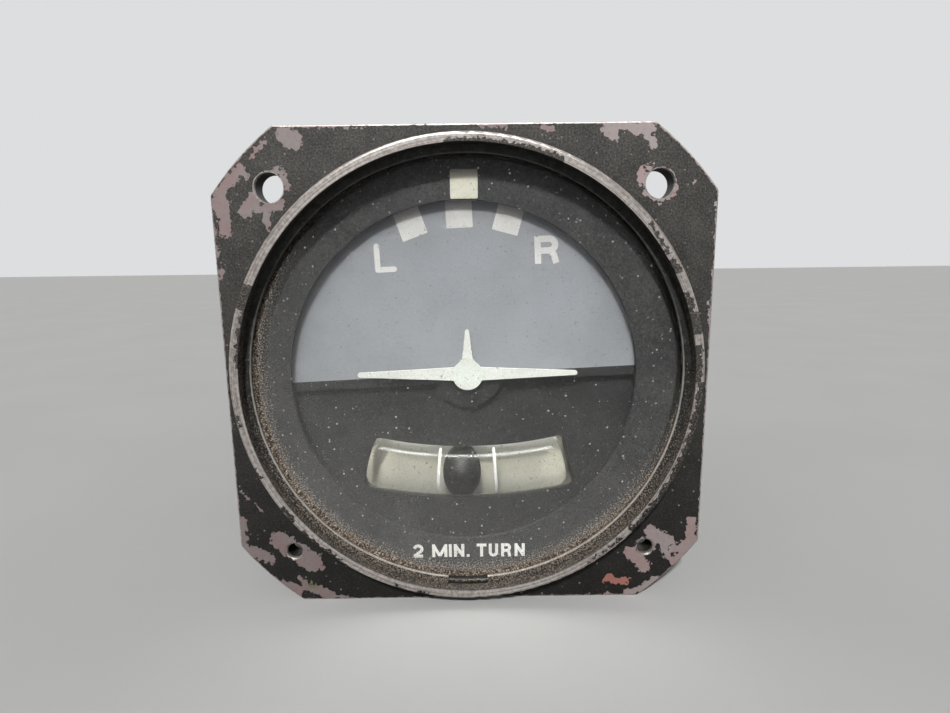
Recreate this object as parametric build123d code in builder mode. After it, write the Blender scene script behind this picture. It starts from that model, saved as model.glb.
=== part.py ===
from build123d import *
from math import acos, asin, cos, degrees, pi, radians, sin, sqrt, tan
import os

# Turn and slip indicator for a 3-1/8 inch panel hole, in millimetres.
# X runs to the pilot's right, Y runs into the instrument and Z runs up.
# The origin is the middle of the flange's front face, which seats against the panel.
# A depth is a distance behind that face.

# Angles about the instrument's axis, from +X towards +Z
quarter_turn = 90.0
half_turn = 180.0
full_turn = 360.0
bottom_angle = 270.0
corner_angle = 45.0
corner_count = 4

# Flange and mounting holes
bolt_circle = 88.9
flange_size = 81.8
flange_thick = 4.0
corner_diameter = 101.8
corner_blend = 1.2
edge_break = 0.3
plain_hole_r = 2.4
tapped_hole_r = 1.4
tapped_lead = 0.3
lead_taper = 45.0

# Case: raised rim in front, can behind
rim_r = 39.2
rim_height = 3.0
rim_round = 0.5
rim_land = 1.6
can_r = 39.4
case_wall = 3.4
mask_seat = 3.1
lug_reach = 5.1
lug_width = 8.0
lug_length = 7.0
boss_reach = 5.0
boss_width = 9.0
boss_length = 14.0
wall_bite = 1.0

# Retaining ring, window, gasket and mask, from the front
ring_thick = 0.9
ring_overlap = 1.3
ring_play = 0.2
groove_depth = 0.8
groove_play = 0.05
ring_gap = 7.2
ring_gap_shift = -0.4
window_thick = 2.0
window_play = 0.2
window_bevel = 0.25
gasket_thick = 0.25
gasket_width = 1.4
mask_thick = 0.8
mask_aperture_r = 29.8
mask_aperture_place = (-0.66, -0.39)

# Fixed aeroplane and its clear stud on the back of the window
stud_r = 3.0
stud_length = 0.55
symbol_thick = 0.5
wing_reach = 19.0
wing_tip_r = 0.39
wing_root_r = 1.25
wing_height = 0.2
fuselage_r = 2.6
fin_top = 7.9
fin_tip_r = 0.35
fin_root_r = 0.9
fin_root_height = 2.9
fin_foot_half = 1.56
fin_foot_height = 1.82

# Turning half disc
disc_gap = 0.9
disc_thick = 0.8
disc_r = 30.8
disc_margin = 1.6
disc_centre_r = 6.0
bank_shown = 2.3

# Fixed background plate
ground_gap = 0.6
ground_thick = 0.8
ground_play = 0.4
ground_bore_r = 5.2
slot_play = 0.15
slot_corner_r = 1.6
dial_post_r = 1.9
dial_post_inset = 2.8
dial_post_angle = 55

# Inclinometer: a tube bent about a point above the dial
bend_r = 79.0
tube_to_bore = 17.3
tube_r = 4.8
tube_wall = 0.9
tube_end_wall = 1.2
tube_end_round = 2.0
tube_end_to_bore = 17.7
tube_gap = 0.45
ball_r = 3.5
ball_sag = 0.3
ball_angle = 0.95
index_spacing = 9.0
index_width = 0.8
index_thick = 0.06
index_lowest = -60
index_highest = 80
pad_thick = 1.1
cradle_wall = 1.5
cradle_play = 0.05
cradle_end = 5.2

# Mechanism plates and posts
front_plate_gap = 9.8
plate_thick = 2.5
front_plate_play = 0.4
rear_plate_play = 1.5
notch_play = 1.0
post_r = 2.4
post_spigot_r = 1.5
post_inset = 5.5
post_angle = 60
nut_across_flats = 5.5
nut_sides = 6
nut_thick = 2.2

# Bridge between the dial drive and the gimbal
bridge_gap = 5.5
bridge_thick = 4.0
bridge_width = 10.0
bridge_post_x = 20.0
bridge_post_r = 2.5
bridge_spigot_r = 1.2

# Screws of the mechanism and of the back
screw_r = 1.05
screw_head_r = 1.9
screw_head_thick = 1.2
low_head_r = 1.5
low_head_thick = 0.7
low_screw_length = 4.0
screw_play = 0.05
slot_width = 0.5
slot_depth = 0.5
back_screw_r = 1.42
back_screw_head_r = 2.7
back_screw_head_thick = 1.8
back_screw_length = 9.0
back_screw_head_round = 0.6
back_slot_width = 0.8
back_slot_depth = 0.9

# Gear train: the sector drives the pinion, the wheel beside the pinion drives the dial gear
gear_module = 0.5
root_share = 1.25
tip_share = 0.95
pressure_angle = 20
tooth_thinning = 0.1
sector_teeth = 60
pinion_teeth = 20
wheel_teeth = 40
dial_gear_teeth = 40
sector_half_angle = 21
gear_thick = 1.8
gear_hub_r = 3.0
sector_thick = 2.0
sector_gap = 1.6
sector_hub_r = 6.0
end_play = 0.3

# Shafts and plain bearings
dial_shaft_r = 1.5
idler_shaft_r = 1.0
pivot_r = 1.0
running_play = 0.03
bush_r = 2.5
bush_flange_r = 3.5
bush_flange_thick = 0.6
bush_stand = 0.3
hub_flange_r = 4.5
hub_flange_thick = 0.8
hub_boss_r = 2.4
weight_gap = 1.9
weight_thick = 3.0
weight_stand = 4.0

# Gimbal and gyroscope
rotor_r = 19.5
rotor_side_room = 4.5
rotor_rim = 6.0
rotor_web = 3.0
rotor_hub_r = 3.2
rotor_gap = 1.9
gimbal_wall = 4.0
gimbal_half_height = 4.5
gimbal_corner_r = 3.0
boss_r = 7.0
boss_step = 1.0
race_outer_r = 4.75
race_inner_r = 3.9
race_width = 3.2
ball_circle_r = 3.2
bearing_ball_r = 0.65
bearing_balls = 7
axle_r = 1.6
cone_r = 2.5
axle_end_play = 0.6
winding_thick = 2.7
winding_inset = 1.5
magnet_outer_r = 9.8
magnet_bore_r = 2.2
magnet_gap = 3.0
magnet_stem_r = 6.0
commutator_r = 3.5
commutator_gap = 0.8
commutator_width = 2.6
brush_play = 0.05
brush_size = 1.8
brush_length = 4.4
holder_r = 9.0
holder_bore_r = 3.9
holder_thick = 1.2
holder_block = 4.0

# Gimbal's stops, centring leaf and damper
tilt_limit = 8.3
arm_half_width = 1.6
arm_thick = 1.6
arm_top = 13.0
rear_room = 5.6
stop_height = 9.0
stop_r = 1.2
stop_gap = 0.1
leaf_thick = 0.3
leaf_width = 2.4
leaf_low = 9.5
fork_height = 11.0
fork_r = 0.6
fork_gap = 0.1
anchor_screw_height = 25.5
anchor_low = 20.5
anchor_above_screw = 2.0
anchor_width = 5.0
damper_inset = 12.0
damper_side_gap = 0.9
damper_behind_axle = 13.5
damper_pin_r = 1.0
damper_pin_length = 4.2
damper_lug_thick = 2.5
damper_lug_half = 2.5
eye_thick = 2.5
eye_gap = 0.9
eye_half_height = 2.4
eye_half_length = 3.2
eye_slot_slack = 0.4
rod_r = 1.0
piston_r = 2.72
piston_play = 0.08
piston_thick = 2.2
damper_wall = 0.8
damper_top = -10.4
piston_end_gap = 0.42
bracket_inset = 2.0
bracket_width = 6.0
bracket_thick = 1.4
bracket_foot = 9.0

# Electrical parts at the back
rear_space = 20.5
board_r = 24.0
board_thick = 1.6
board_stand = 6.4
board_boss_x = 17.0
board_boss_r = 3.0
capacitor_r = 4.5
capacitor_length = 20.0
capacitor_height = 8.0
lead_r = 0.6
lead_x = 13.0
lead_height = 8.0
lead_bend_r = 1.2

# Back cover, blank plate and electrical receptacle
cover_gasket_thick = 0.4
cover_gasket_width = 9.4
cover_thick = 3.2
cover_round = 0.6
back_screw_inset = 2.8
plate_width = 30.0
plate_height = 13.0
data_plate_thick = 0.5
data_plate_height = 17.5
receptacle_height = -10.0
receptacle_flange = 25.4
receptacle_flange_thick = 2.0
receptacle_pitch = 18.3
receptacle_corner_r = 2.5
barrel_r = 7.9
barrel_bore_r = 6.6
barrel_length = 12.0
barrel_bevel = 0.6
insert_body_r = 7.0
insert_behind = 7.0
insert_recess = 7.4
contact_r = 0.8
contact_circle_r = 2.9
contact_count = 3
contact_stand = 2.4
contact_tail = 1.6

# Depths that follow from the sizes above
mask_front = mask_seat - mask_thick
window_back = mask_front - gasket_thick
window_front = window_back - window_thick
symbol_front = window_back + stud_length
disc_front = mask_seat + disc_gap
disc_back = disc_front + disc_thick
ground_front = disc_back + ground_gap
ground_back = ground_front + ground_thick
tube_depth = window_back + tube_gap + tube_r
front_plate_front = ground_back + front_plate_gap
front_plate_back = front_plate_front + plate_thick
bridge_front = front_plate_back + bridge_gap
bridge_back = bridge_front + bridge_thick
sector_front = bridge_back + sector_gap
gimbal_front = sector_front + sector_thick
rotor_depth = gimbal_front + gimbal_wall + rotor_gap + rotor_r
gimbal_back = rotor_depth + rotor_r + rotor_gap + gimbal_wall
rear_plate_front = gimbal_back + rear_room
rear_plate_back = rear_plate_front + plate_thick
case_end = rear_plate_back + rear_space
cover_front = case_end + cover_gasket_thick
cover_back = cover_front + cover_thick
board_back = cover_front - board_stand
board_front = board_back - board_thick
flange_back_of_receptacle = cover_back + receptacle_flange_thick
barrel_end = flange_back_of_receptacle + barrel_length

# Places across the axis that follow from the sizes above
hole_pitch = bolt_circle / sqrt(2)
rim_bore_r = rim_r - rim_land
ring_inner_r = rim_bore_r - ring_overlap
case_bore_r = can_r - case_wall
dial_post_circle_r = case_bore_r - dial_post_inset
post_circle_r = case_bore_r - post_inset
back_screw_circle_r = case_bore_r - back_screw_inset
cover_gasket_inner_r = can_r - cover_gasket_width
groove_r = rim_bore_r + groove_depth
tube_drop = case_bore_r - tube_to_bore
tube_half_length = case_bore_r - tube_end_to_bore
bend_height = bend_r - tube_drop
tube_half_angle = degrees(asin(tube_half_length / bend_r))
tube_bore_r = tube_r - tube_wall
tube_end_angle = degrees(tube_end_wall / bend_r)
trough_half_angle = tube_half_angle + degrees(pad_thick / bend_r)
cradle_half_angle = trough_half_angle + degrees(cradle_end / bend_r)
cradle_half_height = tube_r + cradle_wall
weight_r = tube_drop - cradle_half_height - weight_gap
cradle_screw_angle = (trough_half_angle + cradle_half_angle) / 2
cradle_screw_x = bend_r * sin(radians(cradle_screw_angle))
cradle_screw_z = bend_height - bend_r * cos(radians(cradle_screw_angle))
idler_drop = gear_module * (wheel_teeth + dial_gear_teeth) / 2
lug_circle_r = case_bore_r - lug_reach / 2
dial_post_x = dial_post_circle_r * cos(radians(dial_post_angle))
dial_post_z = dial_post_circle_r * sin(radians(dial_post_angle))
post_x = post_circle_r * cos(radians(post_angle))
post_z = post_circle_r * sin(radians(post_angle))
damper_x = case_bore_r - damper_inset
damper_r = piston_r + piston_play + damper_wall
gimbal_outer_x = damper_x - damper_r - damper_side_gap
gimbal_inner_x = gimbal_outer_x - gimbal_wall
boss_inner_x = gimbal_inner_x - boss_step
axle_end_x = gimbal_outer_x - axle_end_play
rotor_half_width = boss_inner_x - rotor_side_room
magnet_reach = rotor_half_width - rotor_web - magnet_gap
stop_x = stop_height * sin(radians(tilt_limit)) + arm_half_width + stop_r + stop_gap
damper_depth = rotor_depth + damper_behind_axle
damper_pin_front = damper_depth - damper_pin_length / 2
damper_stroke = damper_x * radians(tilt_limit)
damper_length = 2 * (damper_stroke + damper_wall + piston_end_gap) + piston_thick
piston_middle = damper_top - damper_length / 2
clear_screw_r = screw_r + screw_play
clear_back_screw_r = back_screw_r + screw_play

os.makedirs("parts", exist_ok=True)


def facing(depth, x=0, z=0, turn=0):
    """Plane that looks at the pilot from a depth: its x is to the right and its y is up.

    A turn tips the plane's x up on the right, in degrees.
    """
    right = (cos(radians(turn)), 0, sin(radians(turn)))
    return Plane(origin=(x, depth, z), x_dir=right, z_dir=(0, -1, 0))


def across(x, depth, z=0):
    """Plane square to the rotor's axle: its x runs into the instrument and its y is up."""
    return Plane(origin=(x, depth, z), x_dir=(0, 1, 0), z_dir=(1, 0, 0))


def level(z, x, depth):
    """Level plane at a height: its x is to the right and its y runs into the instrument."""
    return Plane(origin=(x, depth, z), x_dir=(1, 0, 0), z_dir=(0, 0, 1))


def on_bend(angle):
    """Plane square to the bent tube at an angle along its bend, anticlockwise from the bottom."""
    x = bend_r * sin(radians(angle))
    z = bend_height - bend_r * cos(radians(angle))
    along = (cos(radians(angle)), 0, sin(radians(angle)))
    return Plane(origin=(x, tube_depth, z), x_dir=(0, 1, 0), z_dir=along)


def polar(radius, angle):
    """Point at a radius and an angle, anticlockwise from the right as the pilot sees it."""
    return (radius * cos(radians(angle)), radius * sin(radians(angle)))


def save(piece, name):
    """Labels a finished piece and writes it under its name."""
    piece.part.label = name
    export_step(piece.part, f"parts/{name}.step")


def curved_bar(depth, half_height, half_angle, corner_r=0):
    """Face of a bar that follows the bent tube, between two arcs about the bend's centre."""
    with BuildSketch(facing(depth)) as bar:
        with BuildLine():
            upper = CenterArc((0, bend_height), bend_r - half_height, bottom_angle - half_angle, 2 * half_angle)
            lower = CenterArc((0, bend_height), bend_r + half_height, bottom_angle - half_angle, 2 * half_angle)
            Line(upper @ 0, lower @ 0)
            Line(upper @ 1, lower @ 1)
        make_face()
        if corner_r:
            fillet(bar.vertices(), corner_r)
    return bar.sketch


def tooth_half_angle(radius, teeth):
    """Half of a tooth's width in degrees at a radius, on an involute flank."""
    pitch_r = gear_module * teeth / 2
    base_r = pitch_r * cos(radians(pressure_angle))
    angles = [acos(min(base_r / r, 1)) for r in (pitch_r, max(radius, base_r))]
    at_pitch, at_radius = [tan(a) - a for a in angles]
    return degrees(pi / (2 * teeth) - tooth_thinning / (2 * pitch_r) + at_pitch - at_radius)


def draw_tooth(teeth, angle):
    """Draws one tooth's flanks and tip at an angle and returns its two feet."""
    pitch_r = gear_module * teeth / 2
    base_r = pitch_r * cos(radians(pressure_angle))
    root_r = pitch_r - root_share * gear_module
    tip_r = pitch_r + tip_share * gear_module
    flank_r = max(root_r, base_r)
    radii = [flank_r, (flank_r + tip_r) / 2, tip_r]
    halves = [tooth_half_angle(r, teeth) for r in radii]
    rise = [polar(r, angle - half) for r, half in zip(radii, halves)]
    fall = [polar(r, angle + half) for r, half in zip(radii, halves)]
    feet = [polar(root_r, angle - halves[0]), polar(root_r, angle + halves[0])]
    ThreePointArc(rise[0], rise[1], rise[2])
    Line(rise[2], fall[2])
    ThreePointArc(fall[2], fall[1], fall[0])
    if root_r < base_r:
        Line(feet[0], rise[0])
        Line(fall[0], feet[1])
    return feet


def gear_face(plane, teeth, first_angle):
    """Face of a whole gear with one tooth at the first angle."""
    with BuildSketch(plane) as gear:
        with BuildLine():
            feet = [draw_tooth(teeth, first_angle + full_turn * n / teeth) for n in range(teeth)]
            for n in range(teeth):
                Line(feet[n - 1][1], feet[n][0])
        make_face()
    return gear.sketch


def sector_face(plane, teeth, half_angle):
    """Face of a sector that hangs down from its hub, with one tooth straight below."""
    side = int(half_angle * teeth / full_turn)
    with BuildSketch(plane) as sector:
        with BuildLine():
            feet = [draw_tooth(teeth, bottom_angle + full_turn * n / teeth) for n in range(-side, side + 1)]
            for n in range(1, len(feet)):
                Line(feet[n - 1][1], feet[n][0])
            Line(feet[-1][1], (0, 0))
            Line((0, 0), feet[0][0])
        make_face()
        Circle(sector_hub_r)
    return sector.sketch


# Case: flange, raised rim and can, one casting
with BuildPart() as case:
    with BuildSketch(facing(flange_thick)):
        Rectangle(flange_size, flange_size)
        Circle(corner_diameter / 2, mode=Mode.INTERSECT)
    extrude(amount=flange_thick)
    fillet(case.edges().filter_by(Axis.Y), corner_blend)
    fillet(case.faces().sort_by(Axis.Y)[0].edges(), edge_break)
    with BuildSketch(facing(0)):
        Circle(rim_r)
    extrude(amount=rim_height)
    fillet(case.faces().sort_by(Axis.Y)[0].edges(), rim_round)
    with BuildSketch(facing(case_end)):
        Circle(can_r)
    extrude(amount=case_end - flange_thick)
    with BuildSketch(facing(mask_seat)):
        Circle(rim_bore_r)
    extrude(amount=mask_seat + rim_height, mode=Mode.SUBTRACT)
    with BuildSketch(facing(case_end)):
        Circle(case_bore_r)
    extrude(amount=case_end - mask_seat, mode=Mode.SUBTRACT)
    with BuildSketch(facing(window_front + groove_play)):
        Circle(groove_r)
    extrude(amount=ring_thick + 2 * groove_play, mode=Mode.SUBTRACT)
    # Four lugs that carry the mechanism's front plate
    with BuildSketch(facing(front_plate_back + lug_length)):
        with PolarLocations(case_bore_r - lug_reach / 2 + wall_bite / 2, corner_count):
            Rectangle(lug_reach + wall_bite, lug_width)
    extrude(amount=lug_length)
    with BuildSketch(facing(front_plate_back + lug_length)):
        with PolarLocations(lug_circle_r, corner_count):
            Circle(clear_screw_r)
    extrude(amount=lug_length, mode=Mode.SUBTRACT)
    # Four bosses that take the back cover's screws
    with BuildSketch(facing(case_end)):
        with PolarLocations(case_bore_r - boss_reach / 2 + wall_bite / 2, corner_count, start_angle=corner_angle):
            Rectangle(boss_reach + wall_bite, boss_width)
    extrude(amount=boss_length)
    with BuildSketch(facing(case_end)):
        with PolarLocations(back_screw_circle_r, corner_count, start_angle=corner_angle):
            Circle(clear_back_screw_r)
    extrude(amount=boss_length, mode=Mode.SUBTRACT)
    # Two plain holes above, two tapped holes below
    with BuildSketch(facing(flange_thick)):
        with Locations((-hole_pitch / 2, hole_pitch / 2), (hole_pitch / 2, hole_pitch / 2)):
            Circle(plain_hole_r)
        with Locations((-hole_pitch / 2, -hole_pitch / 2), (hole_pitch / 2, -hole_pitch / 2)):
            Circle(tapped_hole_r)
    extrude(amount=flange_thick, mode=Mode.SUBTRACT)
    with BuildSketch(facing(0)) as lead_mouth:
        with Locations((-hole_pitch / 2, -hole_pitch / 2), (hole_pitch / 2, -hole_pitch / 2)):
            Circle(tapped_hole_r + tapped_lead)
    extrude(amount=-tapped_lead, taper=lead_taper, mode=Mode.SUBTRACT)
save(case, "case")

# Retaining ring in the rim's groove, split at the bottom
with BuildPart() as snap_ring:
    with BuildSketch(facing(window_front)):
        Circle(groove_r - ring_play)
        Circle(ring_inner_r, mode=Mode.SUBTRACT)
        with Locations((ring_gap_shift, -groove_r)):
            Rectangle(ring_gap, 2 * (groove_r - ring_inner_r) + wall_bite, mode=Mode.SUBTRACT)
    extrude(amount=ring_thick)
    fillet(snap_ring.edges().filter_by(Axis.Y).group_by(Axis.Z)[0], edge_break)
save(snap_ring, "snap_ring")

# Window glass
with BuildPart() as window_glass:
    with BuildSketch(facing(window_back)):
        Circle(rim_bore_r - window_play)
    extrude(amount=window_thick)
    chamfer(window_glass.faces().sort_by(Axis.Y)[0].edges(), window_bevel)
save(window_glass, "window_glass")

# Gasket between the glass and the mask
with BuildPart() as glass_gasket:
    with BuildSketch(facing(mask_front)):
        Circle(rim_bore_r - window_play)
        Circle(rim_bore_r - window_play - gasket_width, mode=Mode.SUBTRACT)
    extrude(amount=gasket_thick)
save(glass_gasket, "glass_gasket")

# Ring shaped mask round the dial
with BuildPart() as dial_mask:
    with BuildSketch(facing(mask_seat)):
        Circle(rim_bore_r - window_play)
        with Locations(mask_aperture_place):
            Circle(mask_aperture_r, mode=Mode.SUBTRACT)
    extrude(amount=mask_thick)
save(dial_mask, "dial_mask")

# Clear stud bonded to the back of the glass
with BuildPart() as symbol_stud:
    with BuildSketch(facing(symbol_front)):
        Circle(stud_r)
    extrude(amount=stud_length)
save(symbol_stud, "symbol_stud")

# Fixed aeroplane: wings and fin taper from the fuselage to round tips
with BuildPart() as aircraft_symbol:
    with BuildSketch(facing(symbol_front + symbol_thick)) as outline:
        Circle(fuselage_r)
        for side in (-1, 1):
            tip_x = side * (wing_reach - wing_tip_r)
            with BuildLine():
                Polyline(
                    (0, wing_height + wing_root_r),
                    (tip_x, wing_height + wing_tip_r),
                    (tip_x, wing_height - wing_tip_r),
                    (0, wing_height - wing_root_r),
                    close=True,
                )
            make_face()
            with Locations((tip_x, wing_height)):
                Circle(wing_tip_r)
        fin_tip_z = fin_top - fin_tip_r
        with BuildLine():
            Polyline(
                (-fin_root_r, fin_root_height),
                (-fin_tip_r, fin_tip_z),
                (fin_tip_r, fin_tip_z),
                (fin_root_r, fin_root_height),
                (fin_foot_half, fin_foot_height),
                (-fin_foot_half, fin_foot_height),
                close=True,
            )
        make_face()
        with Locations((0, fin_tip_z)):
            Circle(fin_tip_r)
    extrude(amount=symbol_thick)
save(aircraft_symbol, "aircraft_symbol")

# Half disc that turns behind the aeroplane, shown with a slight bank
with BuildPart() as horizon_disc:
    with BuildSketch(facing(disc_back, turn=bank_shown)):
        Circle(disc_r)
        with Locations((0, -disc_margin - disc_r / 2)):
            Rectangle(2 * disc_r, disc_r, mode=Mode.SUBTRACT)
        Circle(disc_centre_r)
    extrude(amount=disc_thick)
save(horizon_disc, "horizon_disc")

# Hub that joins the half disc to its shaft
hub_end = front_plate_front - bush_flange_thick - end_play
with BuildPart() as dial_hub:
    with BuildSketch(facing(disc_back + hub_flange_thick)):
        Circle(hub_flange_r)
    extrude(amount=hub_flange_thick)
    with BuildSketch(facing(hub_end)):
        Circle(hub_boss_r)
    extrude(amount=hub_end - disc_back - hub_flange_thick)
    with BuildSketch(facing(hub_end)):
        Circle(dial_shaft_r)
    extrude(amount=hub_end - disc_back - hub_flange_thick / 2, mode=Mode.SUBTRACT)
save(dial_hub, "dial_hub")

# Weight that balances the half disc
weight_front = ground_back + weight_stand
with BuildPart() as dial_counterweight:
    with BuildSketch(facing(weight_front + weight_thick, turn=bank_shown)):
        Circle(weight_r)
        with Locations((0, weight_r / 2)):
            Rectangle(2 * weight_r, weight_r, mode=Mode.SUBTRACT)
        Circle(hub_boss_r + wall_bite)
        Circle(hub_boss_r, mode=Mode.SUBTRACT)
    extrude(amount=weight_thick)
save(dial_counterweight, "dial_counterweight")

# Shaft of the dial, from its hub to the bridge
dial_shaft_front = disc_back + hub_flange_thick / 2
dial_shaft_end = bridge_front + bridge_thick / 2 - end_play / 2
with BuildPart() as dial_shaft:
    with BuildSketch(facing(dial_shaft_end)):
        Circle(dial_shaft_r)
    extrude(amount=dial_shaft_end - dial_shaft_front)
    chamfer(dial_shaft.faces().sort_by(Axis.Y)[-1].edges(), edge_break / 2)
save(dial_shaft, "dial_shaft")

# Dial gear, with its hub towards the front plate
gear_hub_front = front_plate_back + bush_stand + end_play
gear_front = front_plate_back + (bridge_gap - gear_thick) / 2
with BuildPart() as dial_gear:
    extrude(gear_face(facing(gear_front + gear_thick), dial_gear_teeth, bottom_angle), amount=gear_thick)
    with BuildSketch(facing(gear_front)):
        Circle(gear_hub_r)
    extrude(amount=gear_front - gear_hub_front)
    with BuildSketch(facing(gear_front + gear_thick)):
        Circle(dial_shaft_r)
    extrude(amount=gear_front + gear_thick - gear_hub_front, mode=Mode.SUBTRACT)
save(dial_gear, "dial_gear")

# Two flanged bushes for the dial shaft, in the front plate and in the bridge
with BuildPart() as dial_bearings:
    for flange_face, bush_end in (
        (front_plate_front, front_plate_back + bush_stand),
        (bridge_front, bridge_front + bridge_thick / 2),
    ):
        with BuildSketch(facing(flange_face)):
            Circle(bush_flange_r)
        extrude(amount=bush_flange_thick)
        with BuildSketch(facing(bush_end)):
            Circle(bush_r)
        extrude(amount=bush_end - flange_face)
        with BuildSketch(facing(bush_end)):
            Circle(dial_shaft_r + running_play)
        extrude(amount=bush_end - flange_face + bush_flange_thick, mode=Mode.SUBTRACT)
save(dial_bearings, "dial_bearings")

# Fixed background plate, slotted for the tube
with BuildPart() as ground_plate:
    with BuildSketch(facing(ground_back)):
        Circle(case_bore_r - ground_play)
        Circle(ground_bore_r, mode=Mode.SUBTRACT)
        with GridLocations(2 * dial_post_x, 2 * dial_post_z, 2, 2):
            Circle(clear_screw_r, mode=Mode.SUBTRACT)
    extrude(amount=ground_thick)
    slot_angle = tube_half_angle + degrees(slot_play / bend_r)
    tube_slot = curved_bar(ground_back, tube_r + slot_play, slot_angle, slot_corner_r)
    extrude(tube_slot, amount=ground_thick, mode=Mode.SUBTRACT)
save(ground_plate, "ground_plate")

# Posts that carry the background plate on the front plate
with BuildPart() as dial_posts:
    with BuildSketch(facing(front_plate_front)):
        with GridLocations(2 * dial_post_x, 2 * dial_post_z, 2, 2):
            Circle(dial_post_r)
    extrude(amount=front_plate_front - ground_back)
    with BuildSketch(facing(front_plate_back)):
        with GridLocations(2 * dial_post_x, 2 * dial_post_z, 2, 2):
            Circle(clear_screw_r)
    extrude(amount=plate_thick)
    with BuildSketch(facing(ground_back + low_screw_length)):
        with GridLocations(2 * dial_post_x, 2 * dial_post_z, 2, 2):
            Circle(clear_screw_r)
    extrude(amount=low_screw_length, mode=Mode.SUBTRACT)
save(dial_posts, "dial_posts")

# Bent glass tube with closed ends
bend_axis = Axis((0, 0, bend_height), (0, -1, 0))
with BuildPart() as inclinometer_tube:
    with BuildSketch(on_bend(-tube_half_angle)):
        Circle(tube_r)
    revolve(axis=bend_axis, revolution_arc=2 * tube_half_angle)
    tube_ends = inclinometer_tube.faces().filter_by(GeomType.PLANE)
    fillet(tube_ends.edges(), tube_end_round)
    with BuildSketch(on_bend(tube_end_angle - tube_half_angle)):
        Circle(tube_bore_r)
    revolve(
        axis=bend_axis,
        revolution_arc=2 * (tube_half_angle - tube_end_angle),
        mode=Mode.SUBTRACT,
    )
save(inclinometer_tube, "inclinometer_tube")

# Two white lines painted round the front of the tube
with BuildPart() as tube_index_lines:
    for side in (-1, 1):
        with BuildSketch(on_bend(degrees(asin(side * index_spacing / 2 / bend_r)))):
            with BuildLine():
                first = half_turn - index_highest
                outer = CenterArc((0, 0), tube_r + index_thick, first, index_highest - index_lowest)
                inner = CenterArc((0, 0), tube_r, first, index_highest - index_lowest)
                Line(outer @ 0, inner @ 0)
                Line(outer @ 1, inner @ 1)
            make_face()
        extrude(amount=index_width / 2, both=True)
save(tube_index_lines, "tube_index_lines")

# Ball that rolls on the floor of the tube's bore
with BuildPart() as slip_ball:
    ball_place = on_bend(-ball_angle)
    with Locations(ball_place.origin - ball_place.y_dir * ball_sag):
        Sphere(ball_r)
save(slip_ball, "slip_ball")

# Soft pads between the tube's ends and the cradle
with BuildPart() as tube_end_pads:
    for pad_start in (-trough_half_angle, tube_half_angle):
        with BuildSketch(on_bend(pad_start)):
            Circle(tube_bore_r)
            with Locations((ground_back - tube_depth - tube_r, 0)):
                Rectangle(2 * tube_r, 2 * tube_r, mode=Mode.SUBTRACT)
        revolve(axis=bend_axis, revolution_arc=trough_half_angle - tube_half_angle)
save(tube_end_pads, "tube_end_pads")

# Cradle behind the tube, from the background plate to the front plate
with BuildPart() as tube_cradle:
    cradle_face = curved_bar(front_plate_front, cradle_half_height, cradle_half_angle, edge_break)
    extrude(cradle_face, amount=front_plate_front - ground_back)
    with BuildSketch(on_bend(-trough_half_angle)):
        Circle(tube_r + cradle_play)
        with Locations((-tube_r, 0)):
            Rectangle(2 * tube_r, 2 * (tube_r + cradle_play))
    revolve(axis=bend_axis, revolution_arc=2 * trough_half_angle, mode=Mode.SUBTRACT)
    with BuildSketch(facing(front_plate_front)):
        with Locations((-cradle_screw_x, cradle_screw_z), (cradle_screw_x, cradle_screw_z)):
            Circle(clear_screw_r)
    extrude(amount=low_screw_length, mode=Mode.SUBTRACT)
save(tube_cradle, "tube_cradle")

# Front plate of the mechanism, screwed to the case's lugs
with BuildPart() as front_plate:
    with BuildSketch(facing(front_plate_back)):
        Circle(case_bore_r - front_plate_play)
        Circle(bush_r, mode=Mode.SUBTRACT)
        with Locations((0, -idler_drop)):
            Circle(bush_r, mode=Mode.SUBTRACT)
        with PolarLocations(lug_circle_r, corner_count):
            Circle(clear_screw_r, mode=Mode.SUBTRACT)
        with GridLocations(2 * dial_post_x, 2 * dial_post_z, 2, 2):
            Circle(clear_screw_r, mode=Mode.SUBTRACT)
        with Locations((-cradle_screw_x, cradle_screw_z), (cradle_screw_x, cradle_screw_z)):
            Circle(clear_screw_r, mode=Mode.SUBTRACT)
        with Locations((-bridge_post_x, 0), (bridge_post_x, 0)):
            Circle(bridge_spigot_r, mode=Mode.SUBTRACT)
        with GridLocations(2 * post_x, 2 * post_z, 2, 2):
            Circle(post_spigot_r, mode=Mode.SUBTRACT)
    extrude(amount=plate_thick)
save(front_plate, "front_plate")

# Rear plate of the mechanism, notched to pass the case's lugs
rear_pad_x = damper_x - bracket_inset
bracket_bottom = damper_top - damper_length - bracket_thick
foot_screw_z = bracket_bottom + bracket_foot - screw_head_r
with BuildPart() as rear_plate:
    with BuildSketch(facing(rear_plate_back)):
        Circle(case_bore_r - rear_plate_play)
        with PolarLocations(case_bore_r, corner_count):
            Rectangle(2 * (lug_reach + notch_play), lug_width + 2 * notch_play, mode=Mode.SUBTRACT)
        Circle(bush_r, mode=Mode.SUBTRACT)
        with GridLocations(2 * post_x, 2 * post_z, 2, 2):
            Circle(post_spigot_r, mode=Mode.SUBTRACT)
        with Locations((-stop_x, stop_height), (stop_x, stop_height)):
            Circle(stop_r, mode=Mode.SUBTRACT)
        with Locations((-lead_x, lead_height), (lead_x, lead_height)):
            Circle(lead_r, mode=Mode.SUBTRACT)
        with Locations((0, anchor_screw_height), (rear_pad_x, foot_screw_z)):
            Circle(clear_screw_r, mode=Mode.SUBTRACT)
    extrude(amount=plate_thick)
save(rear_plate, "rear_plate")

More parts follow.
